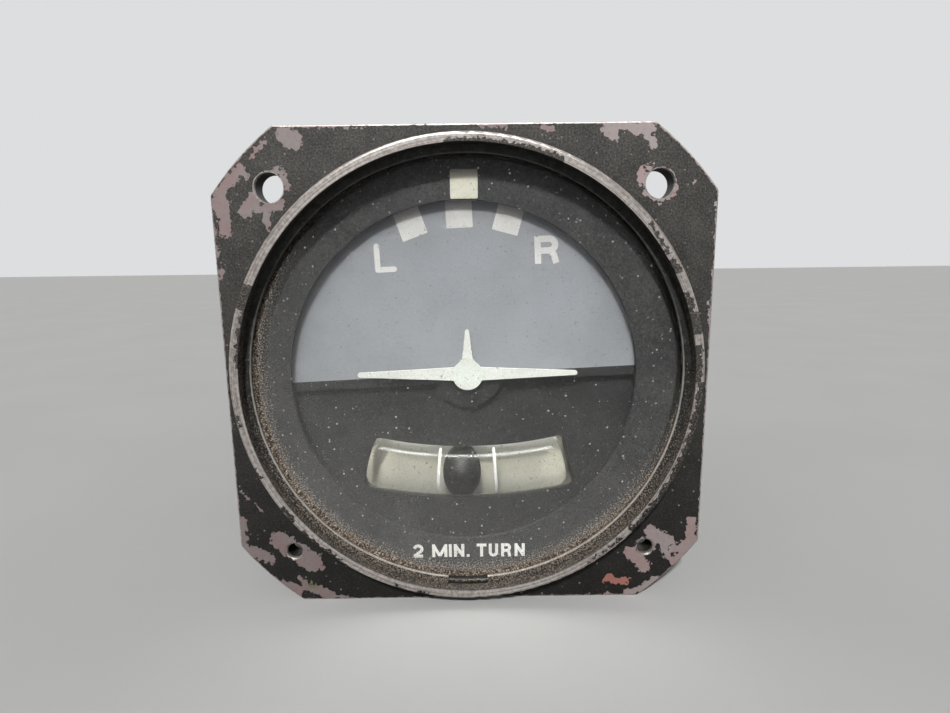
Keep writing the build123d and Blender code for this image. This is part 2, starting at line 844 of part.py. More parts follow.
# Posts between the two plates, staked in front and nutted behind
with BuildPart() as frame_posts:
    for stretch_front, stretch_back, stretch_r in (
        (front_plate_front, front_plate_back, post_spigot_r),
        (front_plate_back, rear_plate_front, post_r),
        (rear_plate_front, rear_plate_back + nut_thick, post_spigot_r),
    ):
        with BuildSketch(facing(stretch_back)):
            with GridLocations(2 * post_x, 2 * post_z, 2, 2):
                Circle(stretch_r)
        extrude(amount=stretch_back - stretch_front)
save(frame_posts, "frame_posts")

with BuildPart() as post_nuts:
    with BuildSketch(facing(rear_plate_back + nut_thick)):
        with GridLocations(2 * post_x, 2 * post_z, 2, 2):
            RegularPolygon(nut_across_flats / 2, nut_sides, major_radius=False)
            Circle(post_spigot_r, mode=Mode.SUBTRACT)
    extrude(amount=nut_thick)
save(post_nuts, "post_nuts")

# Bridge that carries the dial shaft's end, the idler's end and the gimbal's front pivot
with BuildPart() as pivot_bridge:
    with BuildSketch(facing(bridge_back)):
        SlotCenterToCenter(2 * bridge_post_x, bridge_width)
        with Locations((0, -idler_drop / 2)):
            SlotCenterToCenter(idler_drop, bridge_width, rotation=quarter_turn)
        Circle(bush_r, mode=Mode.SUBTRACT)
        with Locations((0, -idler_drop)):
            Circle(bush_r, mode=Mode.SUBTRACT)
        with Locations((-bridge_post_x, 0), (bridge_post_x, 0)):
            Circle(clear_screw_r, mode=Mode.SUBTRACT)
    extrude(amount=bridge_thick)
save(pivot_bridge, "pivot_bridge")

with BuildPart() as bridge_posts:
    for side in (-1, 1):
        with BuildSketch(facing(bridge_front, side * bridge_post_x)):
            Circle(bridge_post_r)
            Circle(clear_screw_r, mode=Mode.SUBTRACT)
        extrude(amount=bridge_gap)
        with BuildSketch(facing(front_plate_back, side * bridge_post_x)):
            Circle(bridge_spigot_r)
        extrude(amount=plate_thick)
save(bridge_posts, "bridge_posts")

# Slotted screws: places, depth of the seat, side of the head, head and length
lug_angles = [quarter_turn * n for n in range(corner_count)]
lug_places = [polar(lug_circle_r, angle) for angle in lug_angles]
dial_places = [(side_x * dial_post_x, side_z * dial_post_z) for side_x in (-1, 1) for side_z in (-1, 1)]
cradle_places = [(-cradle_screw_x, cradle_screw_z), (cradle_screw_x, cradle_screw_z)]
bridge_places = [(-bridge_post_x, 0), (bridge_post_x, 0)]
rear_places = [(0, anchor_screw_height), (rear_pad_x, foot_screw_z)]
board_places = [(-board_boss_x, 0), (board_boss_x, 0)]
plate_grip = plate_thick + low_screw_length
bridge_grip = bridge_thick + low_screw_length
screw_sets = (
    (lug_places, front_plate_front, 1, screw_head_r, screw_head_thick, plate_grip),
    (dial_places, ground_front, 1, low_head_r, low_head_thick, ground_thick + low_screw_length),
    (cradle_places, front_plate_back, -1, screw_head_r, screw_head_thick, plate_grip),
    (bridge_places, bridge_back, -1, low_head_r, low_head_thick, bridge_grip),
    (rear_places, rear_plate_back, -1, screw_head_r, screw_head_thick, plate_thick + bracket_thick),
    (board_places, board_front, 1, screw_head_r, screw_head_thick, board_thick + low_screw_length),
)
with BuildPart() as mechanism_screws:
    for places, seat, side, head_r, head_thick, length in screw_sets:
        with BuildSketch(facing(seat)):
            with Locations(*places):
                Circle(head_r)
        extrude(amount=side * head_thick)
        with BuildSketch(facing(seat)):
            with Locations(*places):
                Circle(screw_r)
        extrude(amount=-side * length)
        with BuildSketch(facing(seat - side * head_thick)):
            with Locations(*places):
                Rectangle(2 * head_r + slot_width, slot_width)
        extrude(amount=-side * min(slot_depth, head_thick / 2), mode=Mode.SUBTRACT)
save(mechanism_screws, "mechanism_screws")

# Idler: a shaft with the wheel in front of the bridge and the pinion behind it
idler_end = gimbal_front + end_play
with BuildPart() as idler_shaft:
    with BuildSketch(facing(idler_end, 0, -idler_drop)):
        Circle(idler_shaft_r)
    extrude(amount=idler_end - front_plate_front)
save(idler_shaft, "idler_shaft")

with BuildPart() as idler_wheel:
    wheel_plane = facing(gear_front + gear_thick, 0, -idler_drop)
    extrude(gear_face(wheel_plane, wheel_teeth, quarter_turn + half_turn / wheel_teeth), amount=gear_thick)
    with BuildSketch(facing(gear_front, 0, -idler_drop)):
        Circle(gear_hub_r)
    extrude(amount=gear_front - gear_hub_front)
    with BuildSketch(wheel_plane):
        Circle(idler_shaft_r)
    extrude(amount=gear_front + gear_thick - gear_hub_front, mode=Mode.SUBTRACT)
save(idler_wheel, "idler_wheel")

pinion_front = bridge_back + bush_stand + end_play
with BuildPart() as idler_pinion:
    pinion_plane = facing(idler_end, 0, -idler_drop)
    pinion_face = gear_face(pinion_plane, pinion_teeth, quarter_turn + half_turn / pinion_teeth)
    extrude(pinion_face, amount=idler_end - pinion_front)
    with BuildSketch(pinion_plane):
        Circle(idler_shaft_r)
    extrude(amount=idler_end - pinion_front, mode=Mode.SUBTRACT)
save(idler_pinion, "idler_pinion")

with BuildPart() as idler_bearings:
    for bush_front, bush_back in (
        (front_plate_front, front_plate_back + bush_stand),
        (bridge_front - bush_stand, bridge_back + bush_stand),
    ):
        with BuildSketch(facing(bush_back, 0, -idler_drop)):
            Circle(bush_r)
            Circle(idler_shaft_r + running_play, mode=Mode.SUBTRACT)
        extrude(amount=bush_back - bush_front)
save(idler_bearings, "idler_bearings")

# Gimbal: a frame round the rotor, with bearing bosses, the damper's lug and the centring arm
with BuildPart() as gimbal:
    gimbal_middle = (gimbal_front + gimbal_back) / 2
    with BuildSketch(level(-gimbal_half_height, 0, gimbal_middle)):
        RectangleRounded(2 * gimbal_outer_x, gimbal_back - gimbal_front, gimbal_corner_r)
        Rectangle(
            2 * gimbal_inner_x,
            gimbal_back - gimbal_front - 2 * gimbal_wall,
            mode=Mode.SUBTRACT,
        )
    extrude(amount=2 * gimbal_half_height)
    for side in (-1, 1):
        boss_reach_x = gimbal_outer_x - boss_inner_x
        with BuildSketch(across(side * boss_inner_x, rotor_depth)):
            Circle(boss_r)
        extrude(amount=side * boss_reach_x)
        with BuildSketch(across(side * boss_inner_x, rotor_depth)):
            Circle(race_outer_r)
        extrude(amount=side * race_width, mode=Mode.SUBTRACT)
        with BuildSketch(across(side * boss_inner_x, rotor_depth)):
            Circle(cone_r + running_play)
        extrude(amount=side * boss_reach_x, mode=Mode.SUBTRACT)
    # Lug that holds the damper's pin
    with BuildSketch(facing(damper_pin_front)):
        with Locations(((gimbal_outer_x + damper_x + damper_pin_r) / 2, 0)):
            Rectangle(damper_x + damper_pin_r + wall_bite - gimbal_outer_x + wall_bite, 2 * damper_lug_half)
        with Locations((damper_x, 0)):
            Circle(damper_pin_r, mode=Mode.SUBTRACT)
    extrude(amount=damper_lug_thick)
    # Centring arm with the two fork pins that straddle the leaf
    with BuildSketch(facing(gimbal_back + arm_thick)):
        with Locations((0, (arm_top - gimbal_half_height) / 2)):
            Rectangle(2 * arm_half_width, arm_top + gimbal_half_height)
    extrude(amount=arm_thick)
    fork_x = leaf_thick / 2 + fork_gap + fork_r
    with BuildSketch(facing(rear_plate_front - end_play)):
        with Locations((-fork_x, fork_height), (fork_x, fork_height)):
            Circle(fork_r)
    extrude(amount=rear_plate_front - end_play - gimbal_back - arm_thick)
    # Holes for the two pivots
    with BuildSketch(facing(gimbal_back + arm_thick)):
        Circle(pivot_r)
    extrude(amount=gimbal_wall + arm_thick, mode=Mode.SUBTRACT)
    with BuildSketch(facing(gimbal_front + gimbal_wall)):
        Circle(pivot_r)
    extrude(amount=gimbal_wall, mode=Mode.SUBTRACT)
save(gimbal, "gimbal")

# Pins pressed into the gimbal: front pivot, rear pivot and damper pin
front_pivot_tip = bridge_front + bridge_thick / 2 + end_play / 2
with BuildPart() as gimbal_pins:
    for pin_front, pin_back, pin_x, pin_r in (
        (front_pivot_tip, gimbal_front + gimbal_wall, 0, pivot_r),
        (gimbal_back - gimbal_wall, rear_plate_back, 0, pivot_r),
        (damper_pin_front - damper_lug_thick, damper_depth + damper_pin_length / 2, damper_x, damper_pin_r),
    ):
        with BuildSketch(facing(pin_back, pin_x)):
            Circle(pin_r)
        extrude(amount=pin_back - pin_front)
save(gimbal_pins, "gimbal_pins")

# Plain bushes of the two pivots
with BuildPart() as pivot_bearings:
    for bush_front, bush_back in (
        (bridge_front + bridge_thick / 2, bridge_back + bush_stand),
        (rear_plate_front - bush_stand, rear_plate_back + bush_stand),
    ):
        with BuildSketch(facing(bush_back)):
            Circle(bush_r)
            Circle(pivot_r + running_play, mode=Mode.SUBTRACT)
        extrude(amount=bush_back - bush_front)
save(pivot_bearings, "pivot_bearings")

# Toothed sector on the gimbal's front face
with BuildPart() as sector_gear:
    extrude(sector_face(facing(gimbal_front), sector_teeth, sector_half_angle), amount=sector_thick)
    with BuildSketch(facing(gimbal_front)):
        Circle(pivot_r)
    extrude(amount=sector_thick, mode=Mode.SUBTRACT)
save(sector_gear, "sector_gear")

# Rotor: a heavy rim, a web on one side and a hub, open on the other side
with BuildPart() as rotor:
    with BuildSketch(across(rotor_half_width, rotor_depth)):
        Circle(rotor_r)
    extrude(amount=-2 * rotor_half_width)
    with BuildSketch(across(rotor_half_width - rotor_web, rotor_depth)):
        Circle(rotor_r - rotor_rim)
    extrude(amount=rotor_web - 2 * rotor_half_width, mode=Mode.SUBTRACT)
    with BuildSketch(across(rotor_half_width, rotor_depth)):
        Circle(rotor_hub_r)
    extrude(amount=magnet_reach + wall_bite - rotor_half_width)
    with BuildSketch(across(rotor_half_width, rotor_depth)):
        Circle(axle_r)
    extrude(amount=-2 * rotor_half_width, mode=Mode.SUBTRACT)
    fillet(rotor.edges().filter_by(GeomType.CIRCLE).sort_by(SortBy.RADIUS)[-2:], edge_break)
save(rotor, "rotor")

# Axle with the bearing cones at its ends
with BuildPart() as rotor_axle:
    with BuildSketch(across(-axle_end_x, rotor_depth)):
        Circle(axle_r)
    extrude(amount=2 * axle_end_x)
    for side in (-1, 1):
        with BuildSketch(across(side * boss_inner_x, rotor_depth)):
            Circle(cone_r)
        extrude(amount=side * race_width)
save(rotor_axle, "rotor_axle")

# Outer races and balls of the rotor's two bearings
with BuildPart() as rotor_bearings:
    for side in (-1, 1):
        with BuildSketch(across(side * boss_inner_x, rotor_depth)):
            Circle(race_outer_r)
            Circle(race_inner_r, mode=Mode.SUBTRACT)
        extrude(amount=side * race_width)
        with Locations(across(side * (boss_inner_x + race_width / 2), rotor_depth)):
            with PolarLocations(ball_circle_r, bearing_balls):
                Sphere(bearing_ball_r)
save(rotor_bearings, "rotor_bearings")

# Winding bonded inside the rotor's rim, round the fixed magnet
with BuildPart() as rotor_winding:
    with BuildSketch(across(rotor_half_width - rotor_web - winding_inset, rotor_depth)):
        Circle(rotor_r - rotor_rim)
        Circle(rotor_r - rotor_rim - winding_thick, mode=Mode.SUBTRACT)
    extrude(amount=rotor_web + 2 * winding_inset - 2 * rotor_half_width)
save(rotor_winding, "rotor_winding")

with BuildPart() as field_magnet:
    with BuildSketch(across(magnet_reach, rotor_depth)):
        Circle(magnet_outer_r)
    extrude(amount=-magnet_reach - rotor_half_width - winding_inset)
    with BuildSketch(across(-boss_inner_x, rotor_depth)):
        Circle(magnet_stem_r)
    extrude(amount=boss_inner_x)
    with BuildSketch(across(-boss_inner_x, rotor_depth)):
        Circle(magnet_bore_r)
    extrude(amount=boss_inner_x + magnet_reach, mode=Mode.SUBTRACT)
save(field_magnet, "field_magnet")

# Commutator beside the rotor, with two brushes in an insulated holder
commutator_x = rotor_half_width + commutator_gap
with BuildPart() as commutator:
    with BuildSketch(across(commutator_x, rotor_depth)):
        Circle(commutator_r)
        Circle(axle_r, mode=Mode.SUBTRACT)
    extrude(amount=commutator_width)
save(commutator, "commutator")

brush_x = commutator_x + commutator_width / 2
with BuildPart() as brushes:
    for side in (-1, 1):
        with BuildSketch(level(0, brush_x, rotor_depth)):
            Rectangle(brush_size, brush_size)
        extrude(amount=side * (commutator_r + brush_play + brush_length))
    with BuildSketch(across(commutator_x - wall_bite, rotor_depth)):
        Circle(commutator_r + brush_play)
    extrude(amount=commutator_width + 2 * wall_bite, mode=Mode.SUBTRACT)
save(brushes, "brushes")

block_inner = holder_bore_r + wall_bite / 2
block_outer = holder_r - wall_bite
block_height = block_outer - block_inner
block_middle = (block_inner + block_outer) / 2
with BuildPart() as brush_holder:
    with BuildSketch(across(boss_inner_x - holder_thick, rotor_depth)):
        Circle(holder_r)
        Circle(holder_bore_r, mode=Mode.SUBTRACT)
    extrude(amount=holder_thick)
    for side in (-1, 1):
        with BuildSketch(across(boss_inner_x - holder_thick, rotor_depth, side * block_middle)):
            Rectangle(holder_block, block_height)
        extrude(amount=commutator_x - boss_inner_x + holder_thick)
    with BuildSketch(level(-holder_r, brush_x, rotor_depth)):
        Rectangle(brush_size, brush_size)
    extrude(amount=2 * holder_r, mode=Mode.SUBTRACT)
save(brush_holder, "brush_holder")

# Damper: the gimbal's pin moves a piston in a closed cylinder through a slotted eye
with BuildPart() as damper_cylinder:
    with BuildSketch(level(damper_top - damper_length, damper_x, damper_depth)):
        Circle(damper_r)
    extrude(amount=damper_length)
    with BuildSketch(level(damper_top - damper_length + damper_wall, damper_x, damper_depth)):
        Circle(piston_r + piston_play)
    extrude(amount=damper_length - 2 * damper_wall, mode=Mode.SUBTRACT)
    with BuildSketch(level(damper_top - damper_wall, damper_x, damper_depth)):
        Circle(rod_r + piston_play)
    extrude(amount=damper_wall, mode=Mode.SUBTRACT)
save(damper_cylinder, "damper_cylinder")

with BuildPart() as damper_piston:
    with BuildSketch(level(piston_middle - piston_thick / 2, damper_x, damper_depth)):
        Circle(piston_r)
    extrude(amount=piston_thick)
    with BuildSketch(level(piston_middle, damper_x, damper_depth)):
        Circle(rod_r)
    extrude(amount=-eye_half_height - piston_middle + wall_bite / 2)
    with BuildSketch(facing(damper_pin_front + eye_gap + eye_thick, damper_x)):
        RectangleRounded(2 * eye_half_length, 2 * eye_half_height, wall_bite)
        SlotCenterToCenter(
            2 * eye_slot_slack,
            2 * (damper_pin_r + piston_play),
            mode=Mode.SUBTRACT,
        )
    extrude(amount=eye_thick)
save(damper_piston, "damper_piston")

with BuildPart() as damper_bracket:
    bracket_front = damper_depth - damper_r
    with BuildSketch(level(bracket_bottom, rear_pad_x, (bracket_front + rear_plate_front) / 2)):
        Rectangle(bracket_width, rear_plate_front - bracket_front)
    extrude(amount=bracket_thick)
    with BuildSketch(facing(rear_plate_front, rear_pad_x, bracket_bottom + bracket_foot / 2)):
        Rectangle(bracket_width, bracket_foot)
    extrude(amount=bracket_thick)
    with BuildSketch(facing(rear_plate_front, rear_pad_x, foot_screw_z)):
        Circle(clear_screw_r)
    extrude(amount=bracket_thick, mode=Mode.SUBTRACT)
save(damper_bracket, "damper_bracket")

# Centring leaf, clamped in its anchor above and held between the fork's pins below
with BuildPart() as centring_spring:
    leaf_back = rear_plate_front - end_play
    leaf_top = anchor_screw_height - screw_r - leaf_thick
    with BuildSketch(facing(leaf_back, 0, (leaf_low + leaf_top) / 2)):
        Rectangle(leaf_thick, leaf_top - leaf_low)
    extrude(amount=leaf_width)
save(centring_spring, "centring_spring")

with BuildPart() as spring_anchor:
    anchor_top = anchor_screw_height + anchor_above_screw
    with BuildSketch(facing(rear_plate_front, 0, (anchor_low + anchor_top) / 2)):
        Rectangle(anchor_width, anchor_top - anchor_low)
    extrude(amount=leaf_width + 2 * end_play)
    with BuildSketch(facing(leaf_back, 0, (anchor_low + leaf_top) / 2)):
        Rectangle(leaf_thick, leaf_top - anchor_low)
    extrude(amount=leaf_width, mode=Mode.SUBTRACT)
    with BuildSketch(facing(rear_plate_front, 0, anchor_screw_height)):
        Circle(clear_screw_r)
    extrude(amount=bracket_thick, mode=Mode.SUBTRACT)
save(spring_anchor, "spring_anchor")

# Pins that stop the centring arm at each end of the gimbal's tilt
with BuildPart() as stop_pins:
    with BuildSketch(facing(rear_plate_back)):
        with Locations((-stop_x, stop_height), (stop_x, stop_height)):
            Circle(stop_r)
    extrude(amount=rear_plate_back - gimbal_back - end_play)
save(stop_pins, "stop_pins")

# Terminal board on the cover's bosses, with a capacitor against electrical noise
with BuildPart() as terminal_board:
    with BuildSketch(facing(board_back)):
        Circle(board_r)
        with Locations((-board_boss_x, 0), (board_boss_x, 0)):
            Circle(clear_screw_r, mode=Mode.SUBTRACT)
    extrude(amount=board_thick)
save(terminal_board, "terminal_board")

with BuildPart() as filter_capacitor:
    with BuildSketch(across(-capacitor_length / 2, board_front - capacitor_r, capacitor_height)):
        Circle(capacitor_r)
    extrude(amount=capacitor_length)
    fillet(filter_capacitor.edges().filter_by(GeomType.CIRCLE), edge_break)
save(filter_capacitor, "filter_capacitor")

# Back cover with its gasket and the bosses of the terminal board
receptacle_places = [
    (side_x * receptacle_pitch / 2, receptacle_height + side_z * receptacle_pitch / 2)
    for side_x in (-1, 1)
    for side_z in (-1, 1)
]
back_screw_angles = [corner_angle + quarter_turn * n for n in range(corner_count)]
back_places = [polar(back_screw_circle_r, angle) for angle in back_screw_angles]
with BuildPart() as cover_gasket:
    with BuildSketch(facing(cover_front)):
        Circle(can_r)
        Circle(cover_gasket_inner_r, mode=Mode.SUBTRACT)
        with Locations(*back_places):
            Circle(clear_back_screw_r, mode=Mode.SUBTRACT)
    extrude(amount=cover_gasket_thick)
save(cover_gasket, "cover_gasket")

with BuildPart() as rear_cover:
    with BuildSketch(facing(cover_back)):
        Circle(can_r)
    extrude(amount=cover_thick)
    fillet(rear_cover.faces().sort_by(Axis.Y)[-1].edges(), cover_round)
    with BuildSketch(facing(cover_front)):
        with Locations((-board_boss_x, 0), (board_boss_x, 0)):
            Circle(board_boss_r)
    extrude(amount=board_stand)
    with BuildSketch(facing(board_back + low_screw_length)):
        with Locations((-board_boss_x, 0), (board_boss_x, 0)):
            Circle(clear_screw_r)
    extrude(amount=low_screw_length, mode=Mode.SUBTRACT)
    with BuildSketch(facing(cover_back)):
        with Locations(*back_places, *receptacle_places):
            Circle(clear_back_screw_r)
        with Locations((0, receptacle_height)):
            Circle(insert_body_r)
    extrude(amount=cover_thick, mode=Mode.SUBTRACT)
save(rear_cover, "rear_cover")

# Blank data plate on the back cover
with BuildPart() as data_plate:
    with BuildSketch(facing(cover_back + data_plate_thick, 0, data_plate_height)):
        RectangleRounded(plate_width, plate_height, wall_bite)
    extrude(amount=data_plate_thick)
save(data_plate, "data_plate")

# Electrical receptacle: square flange, round barrel, insulating insert and contact pins
with BuildPart() as receptacle_shell:
    with BuildSketch(facing(flange_back_of_receptacle, 0, receptacle_height)):
        RectangleRounded(receptacle_flange, receptacle_flange, receptacle_corner_r)
        with GridLocations(receptacle_pitch, receptacle_pitch, 2, 2):
            Circle(clear_back_screw_r, mode=Mode.SUBTRACT)
    extrude(amount=receptacle_flange_thick)
    with BuildSketch(facing(barrel_end, 0, receptacle_height)):
        Circle(barrel_r)
    extrude(amount=barrel_length)
    chamfer(receptacle_shell.faces().sort_by(Axis.Y)[-1].edges(), barrel_bevel)
    with BuildSketch(facing(barrel_end, 0, receptacle_height)):
        Circle(barrel_bore_r)
    extrude(amount=barrel_length + receptacle_flange_thick, mode=Mode.SUBTRACT)
save(receptacle_shell, "receptacle_shell")

insert_face = barrel_end - insert_recess
with BuildPart() as receptacle_insert:
    with BuildSketch(facing(insert_face, 0, receptacle_height)):
        Circle(barrel_bore_r)
    extrude(amount=insert_face - cover_back)
    with BuildSketch(facing(cover_back, 0, receptacle_height)):
        Circle(insert_body_r)
    extrude(amount=insert_behind)
    with BuildSketch(facing(insert_face, 0, receptacle_height)):
        with PolarLocations(contact_circle_r, contact_count, start_angle=quarter_turn):
            Circle(contact_r)
    extrude(amount=insert_face - cover_back + insert_behind, mode=Mode.SUBTRACT)
save(receptacle_insert, "receptacle_insert")

contact_back = cover_back - insert_behind - contact_tail
contact_tip = insert_face + contact_stand
with BuildPart() as contact_pins:
    with BuildSketch(facing(contact_tip, 0, receptacle_height)):
        with PolarLocations(contact_circle_r, contact_count, start_angle=quarter_turn):
            Circle(contact_r)
    extrude(amount=contact_tip - contact_back)
    fillet(contact_pins.faces().group_by(Axis.Y)[-1].edges(), contact_r / 2)
save(contact_pins, "contact_pins")

# Screws of the cover and of the receptacle, with slotted heads
with BuildPart() as cover_screws:
    for places, seat in ((back_places, cover_back), (receptacle_places, flange_back_of_receptacle)):
        head_top = seat + back_screw_head_thick
        with BuildSketch(facing(head_top)):
            with Locations(*places):
                Circle(back_screw_head_r)
        extrude(amount=back_screw_head_thick)
        fillet(cover_screws.faces().group_by(Axis.Y)[-1].edges(), back_screw_head_round)
        with BuildSketch(facing(seat)):
            with Locations(*places):
                Circle(back_screw_r)
        extrude(amount=back_screw_length)
        with BuildSketch(facing(head_top)):
            with Locations(*places):
                Rectangle(2 * back_screw_head_r, back_slot_width)
        extrude(amount=back_slot_depth, mode=Mode.SUBTRACT)
save(cover_screws, "cover_screws")

# Leads inside: from the contacts to the board, and from the board through the rear plate
with BuildPart() as board_leads:
    with BuildSketch(facing(contact_back, 0, receptacle_height)):
        with PolarLocations(contact_circle_r, contact_count, start_angle=quarter_turn):
            Circle(lead_r)
    extrude(amount=contact_back - board_back)
    with BuildSketch(facing(board_front)):
        with Locations((-lead_x, lead_height), (lead_x, lead_height)):
            Circle(lead_r)
    extrude(amount=board_front - rear_plate_front)
save(board_leads, "board_leads")

# Flexible leads from the gimbal to the rear plate
with BuildPart() as gimbal_leads:
    for side in (-1, 1):
        with BuildLine() as lead_path:
            FilletPolyline(
                (side * lead_x, gimbal_back, 0),
                (side * lead_x, (gimbal_back + rear_plate_front) / 2, 0),
                (side * lead_x, (gimbal_back + rear_plate_front) / 2, lead_height),
                (side * lead_x, rear_plate_front, lead_height),
                radius=lead_bend_r,
            )
        with BuildSketch(facing(gimbal_back, side * lead_x)):
            Circle(lead_r)
        sweep(path=lead_path.line)
save(gimbal_leads, "gimbal_leads")
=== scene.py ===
"""Finishes, markings and lighting of a turn and slip indicator, on its CAD frame. Sizes in millimetres."""
import logging
import math
from dataclasses import dataclass, field
from enum import Enum
from typing import Any

import bmesh
import bpy
import numpy as np
from mathutils import Matrix, Vector


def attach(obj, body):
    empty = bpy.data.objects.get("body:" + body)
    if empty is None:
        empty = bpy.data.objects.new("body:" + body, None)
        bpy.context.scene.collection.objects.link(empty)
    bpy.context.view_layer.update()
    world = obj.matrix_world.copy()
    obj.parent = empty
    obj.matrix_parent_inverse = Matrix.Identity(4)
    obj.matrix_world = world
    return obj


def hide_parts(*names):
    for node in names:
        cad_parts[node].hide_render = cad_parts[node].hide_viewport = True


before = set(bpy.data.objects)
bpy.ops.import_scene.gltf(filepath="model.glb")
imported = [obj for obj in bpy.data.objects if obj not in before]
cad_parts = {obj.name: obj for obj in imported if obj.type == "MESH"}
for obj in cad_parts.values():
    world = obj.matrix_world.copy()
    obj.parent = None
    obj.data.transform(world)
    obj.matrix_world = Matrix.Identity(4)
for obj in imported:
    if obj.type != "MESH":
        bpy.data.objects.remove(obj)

LOG = logging.getLogger("indicator")
MM = 0.001
TURN = 2 * math.pi
Colour = tuple[float, float, float, float]


class Body(str, Enum):
    """Bodies of the frame that the new pieces ride on."""

    BASE = "base"
    DIAL = "dial"


class Slot(str, Enum):
    """Material slots of the record, one named with each new piece."""

    STEEL = "blackened_steel"
    GLASS = "clear_glass"
    WHITE = "white_paint"
    CREAM = "cream_paint"
    RUBBER = "black_rubber"


def srgb(red: float, green: float, blue: float) -> Colour:
    """Turns a colour of 0 to 255 as seen on a screen into the linear one that a shader takes.

    Args:
        red: Red, 0 to 255.
        green: Green, 0 to 255.
        blue: Blue, 0 to 255.

    Returns:
        Linear red, green, blue and an alpha of 1.
    """
    share = np.array([red, green, blue], float) / 255
    linear = np.where(share <= 0.04045, share / 12.92, ((share + 0.055) / 1.055) ** 2.4)
    return (float(linear[0]), float(linear[1]), float(linear[2]), 1.0)


class Graph:
    """A node tree with short calls for the nodes that the finishes use."""

    def __init__(self, tree: bpy.types.NodeTree) -> None:
        """Keeps the tree."""
        self.tree = tree

    def add(self, kind: str, inputs: dict[Any, Any] | None = None, **settings: Any) -> bpy.types.Node:
        """Adds a node.

        Args:
            kind: Node type without its ShaderNode prefix.
            inputs: Values or sockets for its inputs, by name or number.
            **settings: Properties of the node.

        Returns:
            The new node.
        """
        node = self.tree.nodes.new("ShaderNode" + kind)
        for key, value in settings.items():
            setattr(node, key, value)
        for key, value in (inputs or {}).items():
            self.feed(node.inputs[key], value)
        return node

    def feed(self, socket: bpy.types.NodeSocket, value: Any) -> None:
        """Links a socket to another socket, or sets its plain value."""
        if isinstance(value, bpy.types.NodeSocket):
            self.tree.links.new(value, socket)
        else:
            socket.default_value = value

    def math(self, operation: str, *values: Any, clamp: bool = False) -> bpy.types.NodeSocket:
        """Combines up to three numbers.

        Args:
            operation: Operation of the Math node.
            *values: Numbers or sockets.
            clamp: Keeps the result between 0 and 1.

        Returns:
            The result.
        """
        inputs = dict(enumerate(values))
        return self.add("Math", inputs, operation=operation, use_clamp=clamp).outputs[0]

    def times(self, a: Any, b: Any, clamp: bool = False) -> bpy.types.NodeSocket:
        """Product of two numbers."""
        return self.math("MULTIPLY", a, b, clamp=clamp)

    def times_plus(self, a: Any, b: Any, c: Any, clamp: bool = False) -> bpy.types.NodeSocket:
        """Product of two numbers plus a third."""
        return self.math("MULTIPLY_ADD", a, b, c, clamp=clamp)

    def plus(self, a: Any, b: Any, clamp: bool = False) -> bpy.types.NodeSocket:
        """Sum of two numbers."""
        return self.math("ADD", a, b, clamp=clamp)

    def minus(self, a: Any, b: Any, clamp: bool = False) -> bpy.types.NodeSocket:
        """Difference of two numbers."""
        return self.math("SUBTRACT", a, b, clamp=clamp)

    def most(self, a: Any, b: Any) -> bpy.types.NodeSocket:
        """The larger of two numbers."""
        return self.math("MAXIMUM", a, b)

    def vector(self, operation: str, *values: Any) -> bpy.types.NodeSocket:
        """Combines vectors; a length or distance comes out as a number."""
        node = self.add("VectorMath", dict(enumerate(values)), operation=operation)
        return node.outputs["Value" if operation in ("LENGTH", "DISTANCE", "DOT_PRODUCT") else "Vector"]

    def scaled(self, vector: Any, scale: Any) -> bpy.types.NodeSocket:
        """Vector times a number."""
        return self.add("VectorMath", {0: vector, "Scale": scale}, operation="SCALE").outputs["Vector"]

    def split(self, vector: Any) -> tuple[Any, Any, Any]:
        """The three parts of a vector."""
        node = self.add("SeparateXYZ", {0: vector})
        return node.outputs[0], node.outputs[1], node.outputs[2]

    def joined(self, x: Any, y: Any, z: Any) -> bpy.types.NodeSocket:
        """One vector from three numbers."""
        return self.add("CombineXYZ", {0: x, 1: y, 2: z}).outputs[0]

    def step(self, value: Any, low: float, high: float, a: float = 0.0, b: float = 1.0) -> bpy.types.NodeSocket:
        """Smooth step from a to b while the value goes from low to high.

        Args:
            value: Number or socket.
            low: Where the step starts.
            high: Where the step ends, below low for a falling one.
            a: Result at low.
            b: Result at high.

        Returns:
            The result.
        """
        if low > high:
            low, high, a, b = high, low, b, a
        inputs = {"Value": value, "From Min": low, "From Max": high, "To Min": a, "To Max": b}
        return self.add("MapRange", inputs, interpolation_type="SMOOTHSTEP").outputs[0]

    def noise(self, vector: Any, scale: Any, detail: float = 4.0, rough: float = 0.55) -> bpy.types.Node:
        """Noise node over a vector, with its Fac and Color outputs."""
        return self.add("TexNoise", {"Vector": vector, "Scale": scale, "Detail": detail, "Roughness": rough})

    def cloud(self, vector: Any, scale: Any, detail: float = 4.0, rough: float = 0.55) -> bpy.types.NodeSocket:
        """Value of a noise over a vector, 0 to 1."""
        return self.noise(vector, scale, detail, rough).outputs["Fac"]

    def toned(self, colour: Any, tone: Any) -> bpy.types.NodeSocket:
        """A colour times a number."""
        return self.blend(1.0, colour, self.joined(tone, tone, tone), "MULTIPLY")

    def blend(self, share: Any, a: Any, b: Any, how: str = "MIX") -> bpy.types.NodeSocket:
        """Mixes two colours by a share."""
        node = self.add("Mix", data_type="RGBA", blend_type=how)
        for index, value in ((0, share), (6, a), (7, b)):
            self.feed(node.inputs[index], value)
        return node.outputs[2]

    def between(self, share: Any, a: Any, b: Any) -> bpy.types.NodeSocket:
        """Mixes two numbers by a share."""
        node = self.add("Mix", data_type="FLOAT")
        for index, value in ((0, share), (2, a), (3, b)):
            self.feed(node.inputs[index], value)
        return node.outputs[0]

    def place(self) -> bpy.types.NodeSocket:
        """Object coordinates in millimetres."""
        return self.scaled(self.add("TexCoord").outputs["Object"], 1 / MM)

